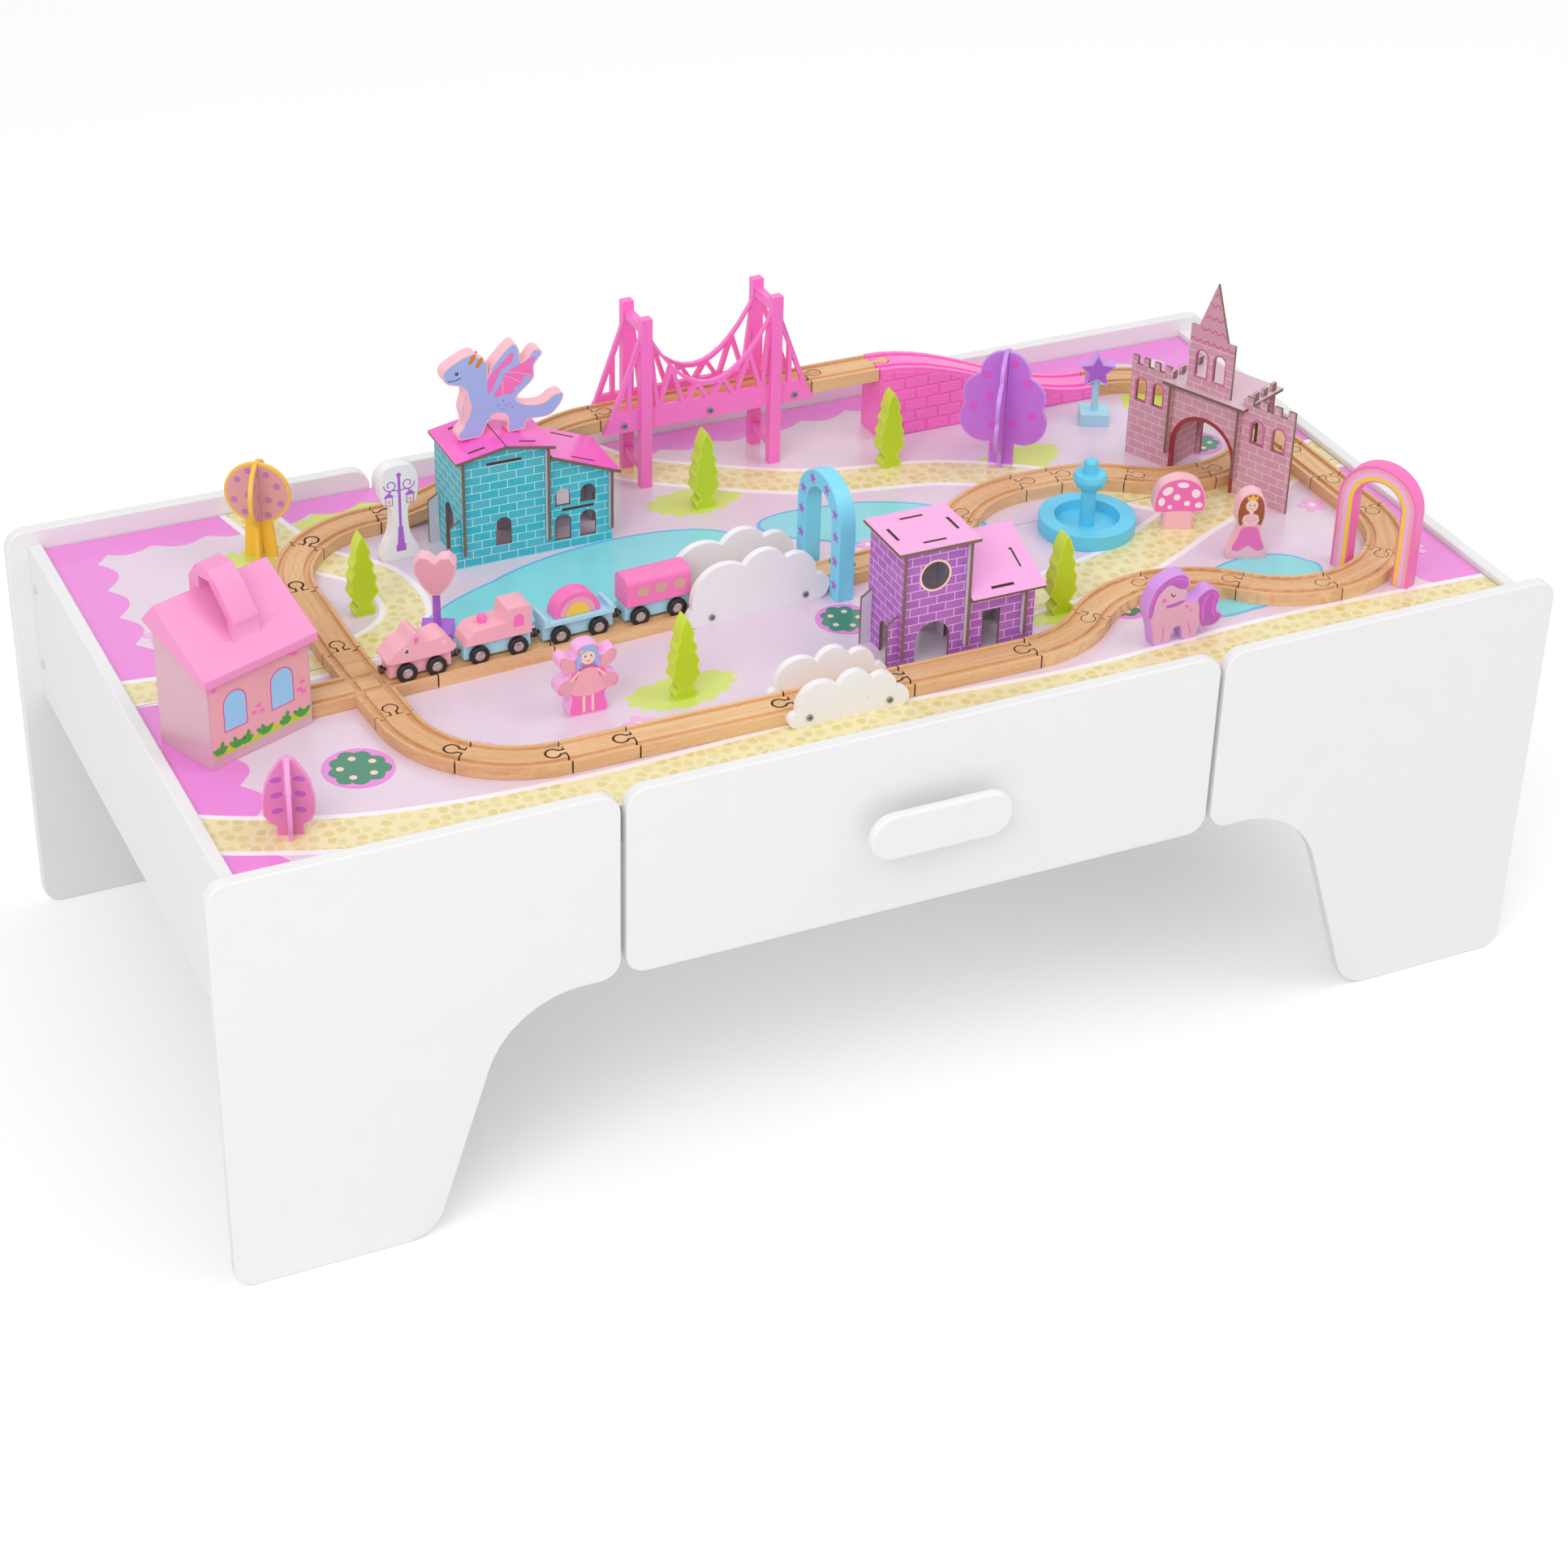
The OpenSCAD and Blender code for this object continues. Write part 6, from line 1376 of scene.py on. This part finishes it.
        for x0, y0, x1, y1 in ((0.04, 0.685, 0.24, 0.605), (0.02, 0.65, 0.155, 0.54), (0.0, 0.60, 0.0, 0.45)):
            rib = [(x0, y0), (0.5 * (x0 + x1), 0.5 * (y0 + y1) + 0.01), (x1, y1)]
            shapes.append((band(shares(rib, w, h), 0.6), pale, 1))
        spots = ((-0.04, 0.33), (0.00, 0.37), (0.03, 0.31), (0.08, 0.28), (-0.01, 0.28), (0.06, 0.33))
        for k, (x, y) in enumerate(spots):
            shapes.append((oval(x * w, y * h, 1.0 - 0.1 * (k % 3), count=14), violet, 0))
        return shapes

    def pony(self, shade):
        """Mane, tail, closed eye, cheek, marks and leg lines of the pony."""
        w, h = 78, 68
        mane, cheek, strand, line = shade("plum"), shade("hot"), shade("magenta"), shade("line")
        head = [(-0.465, 0.44), (-0.475, 0.52), (-0.465, 0.63), (-0.418, 0.79), (-0.355, 0.88), (-0.27, 0.94),
                (-0.15, 0.978), (-0.035, 0.95), (0.012, 0.825), (-0.02, 0.765), (-0.075, 0.775),
                (-0.13, 0.80), (-0.18, 0.845), (-0.237, 0.862), (-0.30, 0.82), (-0.36, 0.745), (-0.40, 0.64),
                (-0.415, 0.52), (-0.435, 0.43)]
        tail = [(0.16, 0.56), (0.245, 0.645), (0.315, 0.665), (0.38, 0.635), (0.42, 0.58), (0.428, 0.51),
                (0.398, 0.39), (0.415, 0.312), (0.476, 0.262), (0.46, 0.20), (0.395, 0.145), (0.285, 0.14),
                (0.225, 0.17), (0.195, 0.30), (0.185, 0.44)]
        shapes = [(smooth_loop(shares(points, w, h), 5), mane, 0) for points in (head, tail)]
        thin = [0.8, 1.6, 1.6, 0.8]
        for points, widths, tint, layer in (
                ([(-0.25, 0.553), (-0.17, 0.555), (-0.08, 0.572), (-0.012, 0.59)],
                 [3.0, 3.6, 3.2, 1.4], mane, 0),
                ([(-0.203, 0.737), (-0.19, 0.702), (-0.165, 0.69), (-0.142, 0.697)], 0.9, line, 0),
                ([(-0.45, 0.48), (-0.442, 0.64), (-0.395, 0.785), (-0.30, 0.895)], thin, strand, 1),
                ([(-0.26, 0.90), (-0.15, 0.935), (-0.05, 0.90), (-0.01, 0.83)], thin, strand, 1),
                ([(0.315, 0.62), (0.25, 0.53), (0.235, 0.38), (0.25, 0.20)], [1.4, 2.8, 2.8, 1.6], strand, 1),
                ([(0.335, 0.63), (0.388, 0.56), (0.365, 0.42), (0.372, 0.31), (0.42, 0.24)],
                 [1.4, 2.6, 2.6, 2.2, 1.2], strand, 1),
                ([(-0.267, 0.025), (-0.262, 0.15), (-0.268, 0.26)], 0.7, strand, 0),
                ([(0.10, 0.03), (0.085, 0.13), (0.052, 0.25)], 0.7, strand, 0)):
            shapes.append((band(shares(points, w, h), widths), tint, layer))
        for x, y, r in ((-0.289, 0.652, 2.4), (0.02, 0.493, 1.9), (0.078, 0.428, 1.2)):
            shapes.append((oval(x * w, y * h, r, count=20), cheek, 0))
        return shapes

    def princess(self, shade):
        """Face, crown, bodice, arms and skirt of the princess."""
        skin, crown, rose, pale, line = (shade(name) for name in ("skin", "amber", "hot", "blush", "line"))
        hair = [(-9.5, 34.5), (-11.8, 42), (-11.8, 52), (-9.5, 60), (-4, 65), (4, 65), (9.5, 60), (11.8, 52),
                (11.8, 42), (9.5, 34.5), (5.5, 38), (0, 44), (-5.5, 38)]
        skirt = [(-6.2, 32), (6.2, 32), (11.2, 20), (15.3, 9), (15.2, 4), (14.4, 1.6), (-14.4, 1.6),
                 (-15.2, 4), (-15.3, 9), (-11.2, 20)]
        apron = [(-6.4, 32), (6.4, 32), (11.4, 20), (14.8, 11.2), (10, 8), (5, 10.6), (0, 13.5), (-5, 10.6),
                 (-10, 8), (-14.8, 11.2), (-11.4, 20)]
        points = [(-4.6, 60.5), (4.6, 60.5), (5.2, 65.0), (2.4, 62.8), (0, 66.2), (-2.4, 62.8), (-5.2, 65.0)]
        shapes = [(smooth_loop(outline, 5), tint, layer) for outline, tint, layer in (
            (hair, shade("hair"), 0), (skirt, pale, 1), (apron, rose, 2))]
        shapes += [(oval(0, 54.5, 5.6, 6.2), skin, 1), (box_outline(-5.2, 30, 5.2, 46, 2.0), pale, 1),
                   (oval(0, 48, 2.0, 2.6), skin, 2), (np.array(points), crown, 2)]
        for side in (-1, 1):
            shapes += [(band([(side * 5, 45), (side * 6.6, 39), (side * 1.5, 35)], 2.2), skin, 2),
                       (oval(side * 2.1, 55, 0.6, 0.8, count=12), line, 2),
                       (oval(side * 3.2, 52.6, 0.9, 0.6, count=12), shade("pink"), 2)]
        shapes.append((band([(-1.3, 51.8), (0, 51.3), (1.3, 51.8)], 0.45), line, 2))
        return shapes

    def fairy(self, shade):
        """Face, hair, wings, dress and legs of the fairy."""
        skin, hair, wing, line = shade("skin"), shade("dragon"), shade("dusty"), shade("line")
        curls = [(-10.0, 43.5), (-10.2, 52), (-9.2, 60), (-5.8, 65.2), (0, 66.8), (5.8, 65.2), (9.2, 60),
                 (10.2, 52), (10.2, 44.5), (7, 46), (0, 50), (-7, 45.5)]
        fringe = [(-6.6, 58.6), (-3.5, 62.8), (3.5, 63.2), (6.9, 57.0), (3.6, 60.2), (-1.0, 61.0)]
        gown = [(-4.5, 46), (4.5, 46), (9, 38), (13.4, 28), (13.8, 21.5), (0, 18.4), (-13.8, 21.5),
                (-13.4, 28), (-9, 38)]
        collar = [(-8.4, 44.4), (-4, 46.4), (0, 47.2), (4, 46.6), (8.2, 45.2)]
        upper = [(12.4, 54), (20.5, 58), (24.4, 55.4), (22.4, 48.5), (15.5, 42.8), (11.4, 45)]
        lower = [(14.0, 38.6), (23.2, 34.4), (26.0, 29.6), (24.2, 25.2), (14.5, 21.8), (10.5, 30)]
        shapes = [(smooth_loop(outline, 5), tint, layer) for outline, tint, layer in (
            (gown, shade("pink"), 1), (curls, hair, 2), (fringe, hair, 5))]
        shapes += [(oval(0, 55.4, 6.2, 6.8), skin, 4), (oval(-6.2, 61.4, 1.4, count=16), shade("amber"), 6),
                   (band(collar, [1.4, 2.8, 3.0, 2.8, 1.6]), shade("frames"), 5)]
        for side in (-1, 1):
            shapes += [(smooth_loop([(side * x, y) for x, y in half], 5), wing, 0) for half in (upper, lower)]
            shapes += [(band([(side * 7.8, 42.8), (side * 12.2, 38.6), (side * 15.4, 34.8)], 1.8), skin, 2),
                       (box_outline(side * 4 - 1.2, 2.5, side * 4 + 1.2, 18.4, 1.0), skin, 0),
                       (oval(side * 4.9, 48.4, 2.2, 2.6, count=20), shade("curl"), 3),
                       (oval(side * 2.6, 56.8, 0.7, 0.9, count=12), line, 5),
                       (oval(side * 3.9, 54.2, 1.0, 0.7, count=12), shade("pink"), 5)]
        shapes.append((band([(-1.5, 52.4), (0, 51.7), (1.5, 52.4)], 0.5), line, 5))
        return shapes

    def mushroom(self, shade):
        """Pale stem and white dots of the mushroom."""
        white, stem = shade("kerb"), shade("blush")
        foot = [(-11.6, 1.4), (-11.6, 14), (-11, 18.6), (11, 18.6), (11.6, 14), (11.6, 1.4), (0, 1.2)]
        dots = ((-12, 40, 5.4, 3.8, 35), (2, 46, 5.6, 2.8, -6), (14.5, 37, 4.0, 4.6, 20),
                (-17, 29, 3.0, 4.2), (-3, 33.5, 3.2), (7, 27, 3.0, 2.6), (18, 25, 3.6, 3.0),
                (-9, 23.5, 2.2, 2.0))
        return [(smooth_loop(foot, 5), stem, 0)] + [(oval(*dot), white, 0) for dot in dots]


class TRAINTABLE_OT_stage(PieceOperator, bpy.types.Operator):
    """Pale floor, soft studio light and the camera at the photograph's angle"""

    bl_idname = "traintable.stage"
    bl_label = "Stage"

    # Lights: name, spot, size in m and power in W. Camera: azimuth, elevation and roll in degrees, the target
    # and the distance in m, the sensor's width in mm and the focal length in sensor widths.
    LIGHTS = (("Key", (-2.3, -2.3, 3.1), 2.4, 58.0), ("Fill", (2.0, -1.2, 3.4), 2.0, 24.0))
    AIM = np.array([0.0, 0.0, 0.35])
    ANGLES = (-25.95, 32.70, 1.66)
    TARGET = np.array([0.0545, 0.0987, 0.0911])
    DISTANCE, SENSOR, FOCAL = 3.3, 36, 2.17
    # Half the floor's width in m, its glow for the camera, and the strength of the world's light
    FLOOR, GLOW, AMBIENT = 12.0, 0.2, 0.74

    def build(self, colours, sizes):
        scene = bpy.context.scene
        scene.view_settings.view_transform = "Standard"
        mesh = bpy.data.meshes.new("floor")
        corners = [(x * self.FLOOR, y * self.FLOOR, 0) for x, y in ((-1, -1), (1, -1), (1, 1), (-1, 1))]
        mesh.from_pydata(corners, [], [(0, 1, 2, 3)])
        floor = bpy.data.objects.new("floor", mesh)
        scene.collection.objects.link(floor)
        material = bpy.data.materials.new("Pale floor")
        material.use_nodes = True
        tree = material.node_tree
        shader = tree.nodes["Principled BSDF"]
        shader.inputs["Base Color"].default_value = (0.9, 0.9, 0.9, 1)
        shader.inputs["Roughness"].default_value = 0.8
        shader.inputs["Emission Color"].default_value = WHITE
        seen = wire(tree, "ShaderNodeLightPath")
        glow = math_node(tree, "MULTIPLY", seen.outputs["Is Camera Ray"], self.GLOW)
        tree.links.new(glow, shader.inputs["Emission Strength"])
        mesh.materials.append(material)
        world = bpy.data.worlds.new("Studio")
        world.use_nodes = True
        scene.world = world
        tree = world.node_tree
        rays = wire(tree, "ShaderNodeLightPath")
        seen = math_node(tree, "MAXIMUM", rays.outputs["Is Glossy Ray"], rays.outputs["Is Transmission Ray"])
        seen = math_node(tree, "MAXIMUM", rays.outputs["Is Camera Ray"], seen)
        background = tree.nodes["Background"]
        tree.links.new(ranged(tree, seen, 0, 1, self.AMBIENT, 1.0), background.inputs["Strength"])
        background.inputs["Color"].default_value = WHITE
        for name, spot, size, power in self.LIGHTS:
            lamp = bpy.data.lights.new(name, "AREA")
            lamp.energy = power
            lamp.size = size
            stand = bpy.data.objects.new(name, lamp)
            scene.collection.objects.link(stand)
            stand.location = spot
            stand.rotation_euler = Vector(self.AIM - np.array(spot)).to_track_quat("-Z", "Y").to_euler()
        self.camera(scene)

    def camera(self, scene):
        """Camera at an azimuth, elevation and roll round a target."""
        azimuth, elevation, roll = (math.radians(angle) for angle in self.ANGLES)
        back = np.array([math.sin(azimuth) * math.cos(elevation), -math.cos(azimuth) * math.cos(elevation),
                         math.sin(elevation)])
        right = np.cross(UP, back)
        right /= np.linalg.norm(right)
        up = np.cross(back, right)
        tilted = math.cos(roll) * right + math.sin(roll) * up
        upright = math.cos(roll) * up - math.sin(roll) * right
        lens = bpy.data.cameras.new("Camera")
        lens.sensor_width = self.SENSOR
        lens.sensor_fit = "HORIZONTAL"
        lens.lens = self.SENSOR * self.FOCAL
        lens.clip_end = 50
        stand = bpy.data.objects.new("Camera", lens)
        scene.collection.objects.link(stand)
        place = np.eye(4)
        place[:3] = np.stack([tilted, upright, back, self.TARGET + back * self.DISTANCE], 1)
        stand.matrix_world = Matrix(place.tolist())
        scene.camera = stand


OPERATORS = (TRAINTABLE_OT_panels, TRAINTABLE_OT_drawer, TRAINTABLE_OT_board, TRAINTABLE_OT_railway,
             TRAINTABLE_OT_bridge, TRAINTABLE_OT_train, TRAINTABLE_OT_houses, TRAINTABLE_OT_station,
             TRAINTABLE_OT_toys, TRAINTABLE_OT_stage)


class TRAINTABLE_PT_panel(bpy.types.Panel):
    """Sidebar panel that lists the pieces"""

    bl_idname = "TRAINTABLE_PT_panel"
    bl_label = "Train table"
    bl_space_type = "VIEW_3D"
    bl_region_type = "UI"
    bl_category = "Train table"

    def draw(self, context):
        for operator in OPERATORS:
            self.layout.operator(operator.bl_idname)


CLASSES = (TrainTableColours, TrainTableSizes, *OPERATORS, TRAINTABLE_PT_panel)


def register():
    """Makes the classes and the scene's settings known to Blender."""
    for cls in CLASSES:
        bpy.utils.register_class(cls)
    bpy.types.Scene.train_table_colours = bpy.props.PointerProperty(type=TrainTableColours)
    bpy.types.Scene.train_table_sizes = bpy.props.PointerProperty(type=TrainTableSizes)


def unregister():
    """Takes them away again."""
    del bpy.types.Scene.train_table_sizes
    del bpy.types.Scene.train_table_colours
    for cls in reversed(CLASSES):
        bpy.utils.unregister_class(cls)


def main():
    """Registers the add-on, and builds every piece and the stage."""
    register()
    for operator in OPERATORS:
        family, name = operator.bl_idname.split(".")
        getattr(getattr(bpy.ops, family), name)()
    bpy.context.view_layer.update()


if __name__ == "__main__":
    main()
